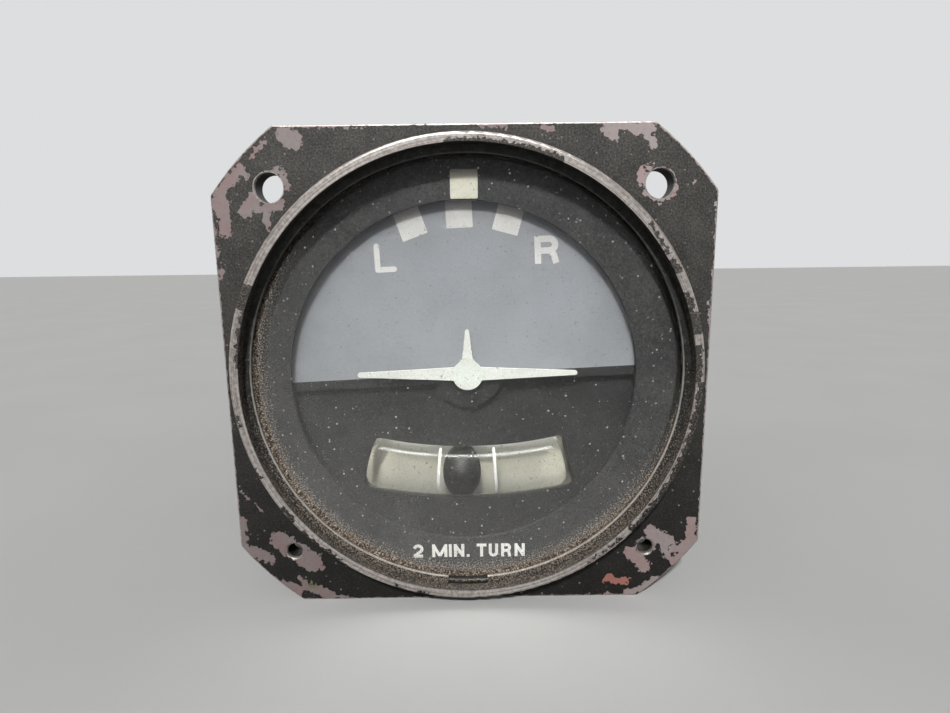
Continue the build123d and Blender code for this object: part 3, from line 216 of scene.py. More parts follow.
    def bump(self, height: Any, distance: float, strength: float = 1.0) -> bpy.types.NodeSocket:
        """Normal raised by a height, with its distance in millimetres."""
        inputs = {"Height": height, "Distance": distance * MM, "Strength": strength}
        return self.add("Bump", inputs).outputs[0]

    def use(self, group: bpy.types.NodeTree, **inputs: Any) -> bpy.types.Node:
        """Places a node group and feeds its inputs by name."""
        node = self.add("Group", node_tree=group)
        for key, value in inputs.items():
            self.feed(node.inputs[key], value)
        return node


class Effects:
    """Node groups that several finishes share. Each is made once."""

    def __init__(self) -> None:
        """Makes the groups."""
        self.grain = self._grain()
        self.edges = self._edges()
        self.dust = self._dust()
        self.turned = self._turned()
        self.chipped = self._chipped()

    @staticmethod
    def _group(name: str, inputs: dict[str, float | None], outputs: tuple[str, ...]) -> tuple[Graph, Any, Any]:
        """Starts a group.

        Args:
            name: Name of the group.
            inputs: Its inputs with their first values, None for a vector.
            outputs: Its outputs, all numbers.

        Returns:
            The graph, the sockets of its inputs and those of its outputs.
        """
        tree = bpy.data.node_groups.new(name, "ShaderNodeTree")
        for key, value in inputs.items():
            kind = "NodeSocketVector" if value is None else "NodeSocketFloat"
            socket = tree.interface.new_socket(key, in_out="INPUT", socket_type=kind)
            if value is not None:
                socket.default_value = value
        for key in outputs:
            tree.interface.new_socket(key, in_out="OUTPUT", socket_type="NodeSocketFloat")
        return Graph(tree), tree.nodes.new("NodeGroupInput").outputs, tree.nodes.new("NodeGroupOutput").inputs

    def _grain(self) -> bpy.types.NodeTree:
        """Fine grain of stoved enamel: small round grains, sparse pale specks and slow clouds."""
        g, given, out = self._group("grain", {"Place": None, "Size": 0.2}, ("Height", "Tone", "Specks"))
        per_mm = g.math("DIVIDE", 1.0, given["Size"])
        fine = g.cloud(given["Place"], per_mm, 3.0, 0.7)
        clouds = g.cloud(given["Place"], 0.22, 3.0, 0.6)
        cells = g.add("TexVoronoi", {"Vector": given["Place"], "Scale": g.times(per_mm, 0.55)})
        pick = g.split(cells.outputs["Color"])[0]
        dot = g.step(cells.outputs["Distance"], 0.34, 0.16)
        specks = g.times(dot, g.step(pick, 0.9, 0.98))
        tone = g.times_plus(fine, 0.75, g.times(clouds, 0.25))
        g.feed(out["Height"], fine)
        g.feed(out["Tone"], tone)
        g.feed(out["Specks"], specks)
        return g.tree

    def _edges(self) -> bpy.types.NodeTree:
        """Worn edges: how far the normal rounded over a radius leans from the true one."""
        g, given, out = self._group("edges", {"Place": None, "Radius": 0.4, "Patchy": 0.5}, ("Worn",))
        radius = g.times(given["Radius"], MM)
        rounded = g.add("Bevel", {"Radius": radius}, samples=4).outputs[0]
        true = g.add("NewGeometry").outputs["Normal"]
        lean = g.minus(1.0, g.vector("DOT_PRODUCT", rounded, true))
        patches = g.cloud(given["Place"], 0.5, 5.0, 0.65)
        bias = g.times(g.minus(patches, 0.5), given["Patchy"])
        g.feed(out["Worn"], g.step(g.plus(lean, bias), 0.03, 0.13))
        return g.tree

    def _dust(self) -> bpy.types.NodeTree:
        """Dust: a film on what faces up, and loose crumbs anywhere."""
        g, given, out = self._group("dust", {"Place": None, "Amount": 0.3, "Crumbs": 0.3}, ("Film", "Grit"))
        up = g.split(g.add("NewGeometry").outputs["Normal"])[2]
        drift = g.cloud(given["Place"], 0.35, 5.0, 0.6)
        film = g.times(g.step(up, -0.2, 1.0), g.step(drift, 0.3, 0.75))
        grit = g.cloud(given["Place"], 3.2, 2.0, 0.5)
        bias = g.times(g.minus(given["Crumbs"], 0.5), 0.3)
        g.feed(out["Film"], g.times(film, given["Amount"], clamp=True))
        g.feed(out["Grit"], g.step(g.plus(grit, bias), 0.6, 0.68))
        return g.tree

    def _turned(self) -> bpy.types.NodeTree:
        """Tool marks of turned metal: fine rings about the instrument's axis, with slow stains."""
        g, given, out = self._group("turned", {"Place": None, "Pitch": 0.12}, ("Marks", "Stains"))
        x, y, z = g.split(given["Place"])
        radius = g.vector("LENGTH", g.joined(x, 0.0, z))
        rings = g.joined(radius, y, g.times(g.math("ARCTAN2", z, x), 0.3))
        marks = g.cloud(rings, g.math("DIVIDE", 1.0, given["Pitch"]), 2.0, 0.5)
        g.feed(out["Marks"], marks)
        g.feed(out["Stains"], g.cloud(given["Place"], 0.3, 5.0, 0.6))
        return g.tree

    def _chipped(self) -> bpy.types.NodeTree:
        """Paint chips: where a field is above zero the paint is gone, with a lip round the hole."""
        g, given, out = self._group("chipped", {"Place": None, "Field": 0.0, "Ragged": 0.3}, ("Bare", "Lip", "Height"))
        coarse = g.cloud(given["Place"], 1.1, 6.0, 0.66)
        shift = g.times(g.minus(coarse, 0.5), given["Ragged"])
        edge = g.plus(given["Field"], shift)
        bare = g.step(edge, -0.012, 0.012)
        near = g.step(edge, -0.09, -0.01)
        g.feed(out["Bare"], bare)
        g.feed(out["Lip"], g.minus(near, bare, clamp=True))
        g.feed(out["Height"], g.minus(1.0, bare))
        return g.tree


@dataclass(frozen=True)
class Finish:
    """A finish with a Principled shader, made once and shared by the pieces that have it."""

    name: str

    def make(self, effects: Effects) -> bpy.types.Material:
        """Makes the material, or returns the one made before.

        Args:
            effects: Shared node groups.

        Returns:
            The material.
        """
        ready = bpy.data.materials.get(self.name)
        if ready is not None:
            return ready
        material = bpy.data.materials.new(self.name)
        material.use_nodes = True
        graph = Graph(material.node_tree)
        self.build(graph, material.node_tree.nodes["Principled BSDF"].inputs, effects)
        return material

    def build(self, g: Graph, surface: Any, effects: Effects) -> None:
        """Feeds the shader. Each finish has its own."""
        raise NotImplementedError


@dataclass(frozen=True)
class RimPatch:
    """Enamel that is left on the rim: from one angle to another in degrees, and from one place across to another."""

    first: float
    last: float
    inner: float
    outer: float


@dataclass(frozen=True)
class CaseEnamel(Finish):
    """Charcoal enamel on a casting: fine grain, chips to a pinkish undercoat, bare metal on the rim and edges, with
    painted light: enamel and undercoat lighter towards the top, and painted shade in the rim's bore.

    Each chip is a stroke with round ends, given as its two ends x, z and its half width.
    """

    paint: Colour = srgb(58, 56, 53)
    under: Colour = srgb(158, 146, 144)
    metal: Colour = srgb(232, 225, 219)
    scuffed: Colour = srgb(170, 158, 152)
    red_lead: Colour = srgb(168, 112, 100)
    green: Colour = srgb(104, 118, 78)
    crumbs: Colour = srgb(176, 158, 138)
    rim_inner: float = 37.6
    rim_outer: float = 39.2
    flange_half: float = 40.9
    corner_r: float = 50.9
    red_place: tuple[float, float, float] = (26.2, 0.0, -37.7)
    hole_place: float = 31.43
    hole_r: tuple[float, float] = (2.4, 1.4)
    chips: tuple[tuple[float, ...], ...] = ()
    verdigris: tuple[tuple[float, float, float], ...] = ((-36.7, 26.3, 1.5), (-28.2, -37.2, 2.2))
    patches: tuple[RimPatch, ...] = ()

    def build(self, g: Graph, surface: Any, effects: Effects) -> None:
        """Feeds the shader with the paint, what shows through it, the dust on it, and painted light and shade."""
        place = g.place()
        x, depth, z = g.split(place)
        radius = g.vector("LENGTH", g.joined(x, 0.0, z))
        coarse = g.noise(place, 0.6, 5.0, 0.62)
        wobble = g.vector("SUBTRACT", coarse.outputs["Color"], (0.5, 0.5, 0.5))
        flake = g.add("TexVoronoi", {"Vector": place, "Scale": 1.5}).outputs["Position"]
        angular = g.scaled(g.vector("SUBTRACT", flake, place), 0.75)
        warped = g.vector("ADD", g.vector("ADD", place, angular), g.scaled(wobble, 1.9))
        bare_field = g.between(g.step(depth, 2.4, 1.6), -9.0, self._chips(g, warped))
        bare_field = g.most(bare_field, self._outline(g, x, depth, z, radius))
        bare_field = g.most(bare_field, self._holes(g, x, z))
        worn = g.use(effects.edges, Place=place, Radius=0.35, Patchy=0.2).outputs["Worn"]
        behind = g.step(depth, 0.9, 1.3)
        bare_field = g.most(bare_field, g.times_plus(g.times(worn, behind), 0.6, -0.4))
        chipped = g.use(effects.chipped, Place=place, Field=bare_field, Ragged=0.9)
        rim, kept = self._rim(g, warped, x, depth, z, radius)

        grain = g.use(effects.grain, Place=place, Size=0.34)
        # painted light: the enamel's tone ramps from dark at the bottom to light at the top, as if lit from above
        higher = g.step(z, -42.0, 40.0)
        tone = g.step(grain.outputs["Tone"], 0.36, 0.64, g.between(higher, 0.14, 0.5), g.between(higher, 0.4, 2.5))
        painted = g.toned(self.paint, tone)
        # pale dust specks, their share rising from 0.12 at the bottom to 0.42 at the top
        fine = g.cloud(place, 3.4, 2.0, 0.6)
        dusty = g.times(g.step(fine, 0.58, 0.68), g.between(higher, 0.12, 0.42))
        painted = g.blend(dusty, painted, srgb(150, 144, 132))
        painted = g.blend(g.times(grain.outputs["Specks"], 0.6), painted, srgb(176, 170, 160))
        mottle = g.cloud(place, 1.6, 4.0, 0.6)
        patch = g.noise(place, 0.16, 2.0, 0.5)
        hue = g.blend(g.step(patch.outputs["Fac"], 0.42, 0.62), self.under, srgb(160, 136, 133))
        under = g.blend(g.step(mottle, 0.4, 0.72, 0.0, 0.6), hue, srgb(138, 130, 130))
        red = g.blend(g.step(g.vector("DISTANCE", warped, self.red_place), 3.2, 2.6), under, self.red_lead)
        # painted light, not age: the undercoat is painted lighter towards the top as if lit from above, and lighter
        # towards the right
        aged = g.times(g.between(higher, 0.78, 1.12), g.step(x, 8.0, 30.0, 1.0, 1.4))
        under = g.toned(red, aged)
        for x1, z1, half in self.verdigris:
            near = g.step(g.vector("DISTANCE", warped, (x1, 0.0, z1)), half, half * 0.4)
            under = g.blend(g.times(near, g.step(fine, 0.4, 0.56)), under, self.green)
        bare = chipped.outputs["Bare"]
        colour = g.blend(bare, painted, under)
        colour = g.blend(g.times(chipped.outputs["Lip"], 0.6), colour, srgb(24, 23, 22))
        edge = g.times(g.step(self._outline(g, x, depth, z, radius), 0.0, 0.12), bare)
        in_hole = g.times(g.step(self._holes(g, x, z), -0.05, 0.05), bare)
        hole = g.times(in_hole, g.step(depth, 1.1, 0.5))
        land = g.times(rim, g.minus(1.0, kept))
        bright = g.most(g.most(edge, hole), land)
        colour = g.blend(in_hole, colour, srgb(34, 32, 29))
        lines = g.use(effects.turned, Place=place, Pitch=0.16).outputs["Marks"]
        scuffs = g.step(g.times_plus(lines, 0.6, g.times(mottle, 0.5)), 0.42, 0.68)
        scuffed = g.blend(scuffs, self.metal, self.scuffed)
        colour = g.blend(bright, colour, scuffed)
        crust = g.cloud(place, 3.3, 3.0, 0.66)
        gritty = g.times(g.times(rim, kept), g.step(crust, 0.53, 0.6))
        colour = g.blend(g.times(gritty, 0.75), colour, srgb(146, 134, 124))
        low = g.step(z, 30.0, -36.0, 0.12, 1.0)
        # painted shade: the rim's bore is painted near-black, standing in for the shade inside the rim; pale crumbs lie
        # on it towards the bottom
        at_bore = g.times(g.step(radius, self.rim_inner + 0.45, self.rim_inner + 0.05), g.step(depth, 1.0, 0.5))
        at_bore = g.times(at_bore, g.step(depth, -3.0, -2.6))
        colour = g.blend(g.times(at_bore, 0.85), colour, srgb(12, 12, 11))
        litter = g.times(g.times(at_bore, low), g.step(crust, 0.5, 0.58))
        colour = g.blend(g.times(litter, 0.8), colour, self.crumbs)
        dust = g.use(effects.dust, Place=place, Amount=0.3, Crumbs=0.32)
        colour = g.blend(dust.outputs["Film"], colour, srgb(128, 122, 112))
        colour = g.blend(g.times(dust.outputs["Grit"], 0.22), colour, srgb(120, 110, 96))
        g.feed(surface["Base Color"], colour)
        clean = g.times(bright, g.minus(1.0, litter), clamp=True)
        metallic = g.times_plus(clean, 0.55, g.times(bare, 0.1), clamp=True)
        g.feed(surface["Metallic"], metallic)
        g.feed(surface["Roughness"], g.between(clean, g.between(bare, 0.6, 0.5), 0.42))
        raised = g.times_plus(grain.outputs["Height"], 0.35, chipped.outputs["Height"])
        raised = g.times_plus(g.times(rim, kept), 0.8, raised)
        raised = g.times_plus(g.most(litter, gritty), 0.8, raised)
        g.feed(surface["Normal"], g.bump(raised, 0.09))

    def _chips(self, g: Graph, warped: Any) -> Any:
        """How far inside a chip the place is: half width less the distance to the stroke between its ends."""
        field: Any = -9.0
        for x1, z1, x2, z2, half in self.chips:
            run = (x2 - x1, 0.0, z2 - z1)
            away = g.vector("MULTIPLY", g.vector("SUBTRACT", warped, (x1, 0.0, z1)), (1.0, 0.0, 1.0))
            squared = max(run[0] ** 2 + run[2] ** 2, 1e-6)
            share = g.most(g.math("DIVIDE", g.vector("DOT_PRODUCT", away, run), squared), 0.0)
            share = g.math("MINIMUM", share, 1.0)
            offset = g.vector("SUBTRACT", away, g.scaled(run, share))
            field = g.most(field, g.minus(half, g.vector("LENGTH", offset)))
        return field

    def _outline(self, g: Graph, x: Any, depth: Any, z: Any, radius: Any) -> Any:
        """How near the place is to the flange's front edge, 0.24 on the edge itself and less away from it."""
        sides = g.most(g.math("ABSOLUTE", x), g.math("ABSOLUTE", z))
        out = g.most(g.minus(sides, self.flange_half), g.minus(radius, self.corner_r))
        back = g.most(depth, 0.0)
        return g.minus(g.plus(out, 0.3), back)

    def _holes(self, g: Graph, x: Any, z: Any) -> Any:
        """How near the place is to the bore of a mounting hole, above zero in it and just round it."""
        across = g.minus(g.math("ABSOLUTE", x), self.hole_place)
        up = g.vector("LENGTH", g.joined(across, g.minus(z, self.hole_place), 0.0))
        down = g.vector("LENGTH", g.joined(across, g.plus(z, self.hole_place), 0.0))
        upper, lower = self.hole_r[0] + 0.16, self.hole_r[1] + 0.2
        return g.most(g.minus(upper, up), g.minus(lower, down))

    def _rim(self, g: Graph, warped: Any, x: Any, depth: Any, z: Any, radius: Any) -> tuple[Any, Any]:
        """The rim's land, and where enamel is left on it.

        Each patch is a box in arc length and place across; a place inside it by more than its ragged edge is kept.
        """
        rim = g.times(g.step(radius, self.rim_outer + 0.05, self.rim_outer), g.step(depth, -2.0, -2.5))
        rim = g.times(rim, g.step(radius, self.rim_inner - 0.02, self.rim_inner + 0.06))
        around = g.math("ARCTAN2", z, x)
        wx, _, wz = g.split(warped)
        ragged = g.minus(g.vector("LENGTH", g.joined(wx, 0.0, wz)), self.rim_inner)
        field: Any = -9.0
        for patch in self.patches:
            middle = math.radians((patch.first + patch.last) / 2)
            half = math.radians(abs(patch.last - patch.first) / 2) * self.rim_inner
            turn = g.math("WRAP", g.minus(around, middle), math.pi, -math.pi)
            arc = g.times_plus(g.math("ABSOLUTE", turn), -self.rim_inner, half)
            across = g.math("ABSOLUTE", g.minus(ragged, (patch.inner + patch.outer) / 2))
            inside = g.minus((patch.outer - patch.inner) / 2, across)
            field = g.most(field, g.math("MINIMUM", arc, inside))
        fleck = g.minus(g.cloud(warped, 1.1, 5.0, 0.65), 0.5)
        return rim, g.step(g.times_plus(fleck, 1.1, field), -0.03, 0.05)


@dataclass(frozen=True)
class Metal(Finish):
    """Turned or brushed metal with tool marks, slow stains and a little dust."""

    colour: Colour = srgb(190, 188, 184)
    stain: Colour = srgb(120, 116, 110)
    rough: float = 0.32
    pitch: float = 0.14
    metallic: float = 1.0

    def build(self, g: Graph, surface: Any, effects: Effects) -> None:
        """Feeds the shader with the metal and its marks."""
        place = g.place()
        turned = g.use(effects.turned, Place=place, Pitch=self.pitch)
        stains = g.step(turned.outputs["Stains"], 0.45, 0.75)
        colour = g.blend(g.times(stains, 0.7), self.colour, self.stain)
        tone = g.step(turned.outputs["Marks"], 0.25, 0.75, 0.86, 1.08)
        colour = g.toned(colour, tone)
        dust = g.use(effects.dust, Place=place, Amount=0.12, Crumbs=0.2)
        colour = g.blend(dust.outputs["Film"], colour, srgb(126, 118, 106))
        g.feed(surface["Base Color"], colour)
        surface["Metallic"].default_value = self.metallic
        marked = g.times_plus(turned.outputs["Marks"], 0.12, self.rough)
        g.feed(surface["Roughness"], g.times_plus(stains, 0.2, marked))
        g.feed(surface["Normal"], g.bump(turned.outputs["Marks"], 0.01))


@dataclass(frozen=True)
class Paint(Finish):
    """Flat paint on a small part: fine grain, faint clouds, specks of dust."""

    colour: Colour = srgb(230, 230, 225)
    aged: Colour = srgb(205, 202, 192)
    rough: float = 0.6
    grain: float = 0.25
    specks: float = 0.15
    relief: float = 0.008
    tones: tuple[float, float] = (0.9, 1.08)

    def build(self, g: Graph, surface: Any, effects: Effects) -> None:
        """Feeds the shader with the paint and its age."""
        place = g.place()
        grain = g.use(effects.grain, Place=place, Size=self.grain)
        clouds = g.cloud(place, 0.16, 5.0, 0.6)
        colour = g.blend(g.step(clouds, 0.35, 0.72), self.colour, self.aged)
        tone = g.step(grain.outputs["Tone"], 0.34, 0.66, *self.tones)
        colour = g.toned(colour, tone)
        colour = g.blend(g.times(grain.outputs["Specks"], self.specks), colour, srgb(196, 190, 178))
        g.feed(surface["Base Color"], colour)
        g.feed(surface["Roughness"], g.times_plus(clouds, 0.15, self.rough))
        g.feed(surface["Normal"], g.bump(grain.outputs["Height"], self.relief))


@dataclass(frozen=True)
class PaleFloor(Finish):
    """Plain paper floor with faint clouds, dim where a mirror looks at it, like the dark room before the dial."""

    colour: Colour = srgb(214, 214, 212)

    def build(self, g: Graph, surface: Any, effects: Effects) -> None:
        """Feeds the shader with the paper's colour."""
        clouds = g.cloud(g.place(), 0.02, 3.0, 0.5)
        tone = g.step(clouds, 0.3, 0.7, 0.97, 1.0)
        shown = g.times(tone, g.between(g.add("LightPath").outputs["Is Glossy Ray"], 1.0, 0.24))
        g.feed(surface["Base Color"], g.toned(self.colour, shown))
        surface["Roughness"].default_value = 0.95
        surface["Specular IOR Level"].default_value = 0.0


@dataclass(frozen=True)
class Plastic(Finish):
    """Moulded plastic or rubber: soft flow marks, faint scratches and dust."""

    colour: Colour = srgb(30, 30, 30)
    bloom: Colour = srgb(54, 53, 50)
    rough: float = 0.45
    relief: float = 0.01

    def build(self, g: Graph, surface: Any, effects: Effects) -> None:
        """Feeds the shader with the plastic and its bloom."""
        place = g.place()
        flow = g.cloud(place, 0.4, 5.0, 0.6)
        pores = g.cloud(place, 5.0, 2.0, 0.5)
        colour = g.blend(g.step(flow, 0.4, 0.75), self.colour, self.bloom)
        dust = g.use(effects.dust, Place=place, Amount=0.2, Crumbs=0.25)
        colour = g.blend(dust.outputs["Film"], colour, srgb(122, 116, 104))
        g.feed(surface["Base Color"], colour)
        g.feed(surface["Roughness"], g.times_plus(flow, 0.2, self.rough))
        g.feed(surface["Normal"], g.bump(pores, self.relief))


@dataclass(frozen=True)
class HalfDisc(Finish):
    """Turning disc: grey above its own horizon, black below, both faded and dusty."""

    sky: Colour = srgb(146, 147, 152)
    ground: Colour = srgb(30, 30, 32)
    bank: float = 2.3

    def build(self, g: Graph, surface: Any, effects: Effects) -> None:
        """Feeds the shader with the two halves."""
        place = g.place()
        level = g.add("Mapping", {"Vector": place, "Rotation": (0.0, math.radians(self.bank), 0.0)}).outputs[0]
        height = g.split(level)[2]
        grain = g.use(effects.grain, Place=place, Size=0.24)
        clouds = g.cloud(place, 0.07, 4.0, 0.55)
        sky = g.blend(g.step(clouds, 0.3, 0.7), self.sky, srgb(137, 138, 143))
        tone = g.step(grain.outputs["Tone"], 0.3, 0.7, 0.93, 1.06)
        sky = g.toned(sky, tone)
        ground = g.blend(g.times(grain.outputs["Specks"], 0.35), self.ground, srgb(120, 116, 108))
        g.feed(surface["Base Color"], g.blend(g.step(height, -0.03, 0.03), ground, sky))
        g.feed(surface["Roughness"], g.times_plus(clouds, 0.15, 0.6))
        g.feed(surface["Normal"], g.bump(grain.outputs["Height"], 0.008))


@dataclass(frozen=True)
class CradleCreamAndPaintedLight(Finish):
    """Cream paint of the trough behind the tube, with painted light: paler towards the top of the bend, which lies in
    shade, darker towards the bottom, and paler at the ends.
    """

    colour: Colour = srgb(176, 171, 159)
    bend_height: float = 60.3
    bend_r: float = 79.0

    def build(self, g: Graph, surface: Any, effects: Effects) -> None:
        """Feeds the shader with the paint, and with painted light set by the distance from the bend's centre and from
        the middle.
        """
        place = g.place()
        x, _, z = g.split(place)
        away = g.vector("LENGTH", g.joined(x, 0.0, g.minus(z, self.bend_height)))
        # painted light: up to 2.3 times paler at the shaded top of the trough, down to 0.155 at its bottom
        tone = g.step(away, self.bend_r - 4.2, self.bend_r + 4.4, 2.3, 0.155)
        # painted light: the ends are painted up to 1.7 times paler
        tone = g.times(tone, g.step(g.math("ABSOLUTE", x), 12.5, 17.5, 1.0, 1.7))
        grain = g.use(effects.grain, Place=place, Size=0.3)
        tone = g.times(tone, g.step(grain.outputs["Tone"], 0.3, 0.7, 0.96, 1.03))
        g.feed(surface["Base Color"], g.toned(self.colour, tone))
        surface["Roughness"].default_value = 0.7
        g.feed(surface["Normal"], g.bump(grain.outputs["Height"], 0.004))


@dataclass(frozen=True)
class Glass(Finish):
    """Clear glass that lets lamp light straight through. A tube's upper side may be slightly rough."""

    colour: Colour = srgb(250, 251, 250)
    ior: float = 1.5
    rough: float = 0.0
    upper_rough: float = 0.0
    inner_rough: float = 0.0

    def build(self, g: Graph, surface: Any, effects: Effects) -> None:
        """Feeds the shader, and swaps it for a clear one on rays from lamps."""
        shader = g.tree.nodes["Principled BSDF"]
        place = g.place()
        smear = g.cloud(place, 0.12, 5.0, 0.6)
        surface["Base Color"].default_value = self.colour
        surface["Transmission Weight"].default_value = 1.0
        surface["IOR"].default_value = self.ior
        smeared = g.step(smear, 0.5, 0.9, self.rough, self.rough + 0.03)
        if self.inner_rough:
            geometry = g.add("NewGeometry").outputs
            upper = g.step(g.split(geometry["Normal"])[2], 0.61, 0.67, 0.0, self.upper_rough)
            smeared = g.between(geometry["Backfacing"], upper, self.inner_rough)
        g.feed(surface["Roughness"], smeared)
        clear = g.add("BsdfTransparent", {"Color": self.colour})
        rays = g.add("LightPath").outputs["Is Shadow Ray"]
        mixed = g.add("MixShader", {0: rays, 1: shader.outputs[0], 2: clear.outputs[0]})
        g.feed(g.tree.nodes["Material Output"].inputs["Surface"], mixed.outputs[0])


@dataclass(frozen=True)
class DustFilm(Finish):
    """Dust on the window: a grainy veil, heavier low on the left, pale specks, and brown crumbs towards the ring."""

    reach: float = 36.3
    veil: tuple[tuple[float, float], tuple[float, float]] = ((-14.0, 0.006), (32.0, 0.145))
    dust: Colour = srgb(192, 190, 186)
    dirt: tuple[Colour, Colour] = (srgb(92, 77, 65), srgb(194, 178, 160))

    def build(self, g: Graph, surface: Any, effects: Effects) -> None:
        """Feeds the shader's colour and how dense the dust is."""
        place = g.place()
        x, _, z = g.split(place)
        radius = g.vector("LENGTH", g.joined(x, 0.0, z))
        side = g.plus(g.times(x, -0.45), g.times(z, -0.9))
        (low, thin), (high, thick) = self.veil
        limits = {"From Min": low, "From Max": high, "To Min": thin, "To Max": thick}
        veil = g.add("MapRange", {"Value": side, **limits}).outputs[0]
        cloud = g.cloud(place, 0.14, 5.0, 0.6)
        fine = g.cloud(place, 4.6, 2.0, 0.7)
        veil = g.times(veil, g.step(cloud, 0.25, 0.75, 0.7, 1.3))
        veil = g.times(veil, g.step(fine, 0.3, 0.7, 0.35, 1.7))
        heavy = g.step(side, -26.0, 16.0, 0.12, 1.2)
        ring = g.times(g.step(radius, self.reach - 5.2, self.reach + 0.4), heavy)
        crumbs = g.cloud(place, 3.9, 3.0, 0.72)
        dirt = g.step(g.times_plus(ring, 0.16, crumbs), 0.63, 0.71)
        dirt = g.times(dirt, g.times_plus(ring, 0.8, 0.05))
        large = g.use(effects.grain, Place=place, Size=0.4).outputs["Specks"]
        small = g.use(effects.grain, Place=g.vector("ADD", place, (7.3, 1.1, 3.7)), Size=0.24).outputs["Specks"]
        specks = g.times_plus(large, 0.6, g.times(small, 0.4))
        motes = g.times(g.step(g.cloud(place, 3.1, 1.0, 0.5), 0.66, 0.74), 0.3)
        specks = g.plus(specks, motes)
        alpha = g.plus(veil, g.plus(dirt, specks), clamp=True)
        brown = g.blend(g.step(crumbs, 0.4, 0.72), *self.dirt)
        colour = g.blend(dirt, self.dust, brown)
        g.feed(surface["Base Color"], colour)
        g.feed(surface["Alpha"], alpha)
        g.feed(surface["Normal"], g.bump(crumbs, 0.1))
        surface["Roughness"].default_value = 0.95
        surface["Specular IOR Level"].default_value = 0.1


@dataclass(frozen=True)
class RingSteel(Finish):
    """Blackened spring steel: dark gritty face, inner edge worn bright, that bright edge being a painted highlight on
    the lower half with painted shade at the top.
    """

    inner: float = 36.3

    def build(self, g: Graph, surface: Any, effects: Effects) -> None:
        """Feeds the shader with the blackening, the worn edge with its painted highlight, and the litter on it."""
        place = g.place()
        x, depth, z = g.split(place)
        radius = g.vector("LENGTH", g.joined(x, 0.0, z))
        mottle = g.cloud(place, 0.9, 5.0, 0.62)
        rubbed_edge_and_highlight = g.step(g.times_plus(mottle, -0.3, radius), self.inner + 0.1, self.inner)
        rubbed_edge_and_highlight = g.times(rubbed_edge_and_highlight, g.step(depth, -0.45, -0.62))
        # painted light: the bright edge fades towards the top, where shade falls, and stays bright lower down as a
        # highlight
        rubbed_edge_and_highlight = g.times(rubbed_edge_and_highlight, g.step(z, 16.0, -16.0, 0.06, 1.0))
        crust = g.cloud(place, 3.4, 3.0, 0.65)
        low = g.step(z, 20.0, -34.0, -0.02, 0.15)
        litter = g.step(g.plus(crust, low), 0.62, 0.7)
        dark = g.blend(g.step(mottle, 0.35, 0.7), srgb(34, 34, 33), srgb(54, 54, 51))
        colour = g.blend(rubbed_edge_and_highlight, dark, srgb(214, 210, 202))
        colour = g.blend(g.times(litter, 0.85), colour, srgb(182, 166, 150))
        g.feed(surface["Base Color"], colour)
        g.feed(surface["Metallic"], g.times(rubbed_edge_and_highlight, g.minus(0.45, litter), clamp=True))
        g.feed(surface["Roughness"], g.between(rubbed_edge_and_highlight, 0.55, 0.35))
        g.feed(surface["Normal"], g.bump(g.times_plus(litter, 1.0, g.times(crust, 0.3)), 0.08))


@dataclass(frozen=True)
class PackedDust(Finish):
    """Crumbs of brown and straw dirt packed in a corner, darkened towards the top as painted shade."""

    def build(self, g: Graph, surface: Any, effects: Effects) -> None:
        """Feeds the shader with crumbs of several colours, and painted shade towards the top."""
        place = g.place()
        cells = g.add("TexVoronoi", {"Vector": place, "Scale": 5.2})
        pick = g.split(cells.outputs["Color"])[0]
        fine = g.cloud(place, 5.0, 2.0, 0.6)
        colour = g.blend(g.step(pick, 0.2, 0.9), srgb(66, 54, 45), srgb(160, 143, 126))
        colour = g.blend(g.step(pick, 0.8, 0.86), colour, srgb(206, 192, 174))
        # painted shade: the crumbs darken to a tenth towards the top, where the rim's shadow falls
        tone = g.times(g.step(fine, 0.3, 0.7, 0.6, 1.15), g.step(g.split(place)[2], 26.0, -20.0, 0.1, 1.0))
        g.feed(surface["Base Color"], g.toned(colour, tone))
        surface["Roughness"].default_value = 0.95
        g.feed(surface["Normal"], g.bump(g.minus(1.0, cells.outputs["Distance"]), 0.16))


def smooth_surface(name: str, grid: np.ndarray, loops: tuple[bool, bool], angle: float = 40.0) -> bpy.types.Object:
    """Makes an object from a grid of points: each four neighbours are a face, and points that meet are merged.

    Args:
        name: Name of the piece.
        grid: Points in millimetres, shaped (rows, columns, 3).
        loops: Whether the rows, and the columns, close on themselves.
        angle: Edges sharper than this many degrees stay sharp.

    Returns:
        The object, at the origin.
    """
    rows, columns = grid.shape[:2]
    i = np.arange(rows if loops[0] else rows - 1)[:, None]
    j = np.arange(columns if loops[1] else columns - 1)[None, :]
    i2, j2 = (i + 1) % rows, (j + 1) % columns
    quads = np.stack([i * columns + j, i2 * columns + j, i2 * columns + j2, i * columns + j2], -1).reshape(-1, 4)
    mesh = bpy.data.meshes.new(name)
    mesh.from_pydata((grid.reshape(-1, 3) * MM).tolist(), [], quads.tolist())
    work = bmesh.new()
    work.from_mesh(mesh)
    bmesh.ops.remove_doubles(work, verts=work.verts, dist=1e-7)
    bmesh.ops.dissolve_degenerate(work, edges=work.edges, dist=1e-8)
    bmesh.ops.recalc_face_normals(work, faces=work.faces)
    work.to_mesh(mesh)
    work.free()
    mesh.shade_smooth()
    mesh.set_sharp_from_angle(angle=math.radians(angle))
    made = bpy.data.objects.new(name, mesh)
    bpy.context.scene.collection.objects.link(made)
    return made


def rounded_box(half_wide: float, half_high: float, corner: float, per_corner: int = 6) -> np.ndarray:
    """Outline of a rectangle with round corners: four quarter circles, each about its own corner's centre.

    Args:
        half_wide: Half the width.
        half_high: Half the height.
        corner: Radius of the corners.
        per_corner: Points on each corner.

    Returns:
        Points shaped (n, 2), anticlockwise.
    """
    quarter = np.arange(4)[:, None]
    angle = (quarter + np.linspace(0, 1, per_corner)[None, :]) * math.pi / 2
    sign = np.array([(1, 1), (-1, 1), (-1, -1), (1, -1)], float)
    centre = sign * (half_wide - corner, half_high - corner)
    around = np.stack([np.cos(angle), np.sin(angle)], -1) * corner
    return (centre[:, None, :] + around).reshape(-1, 2)


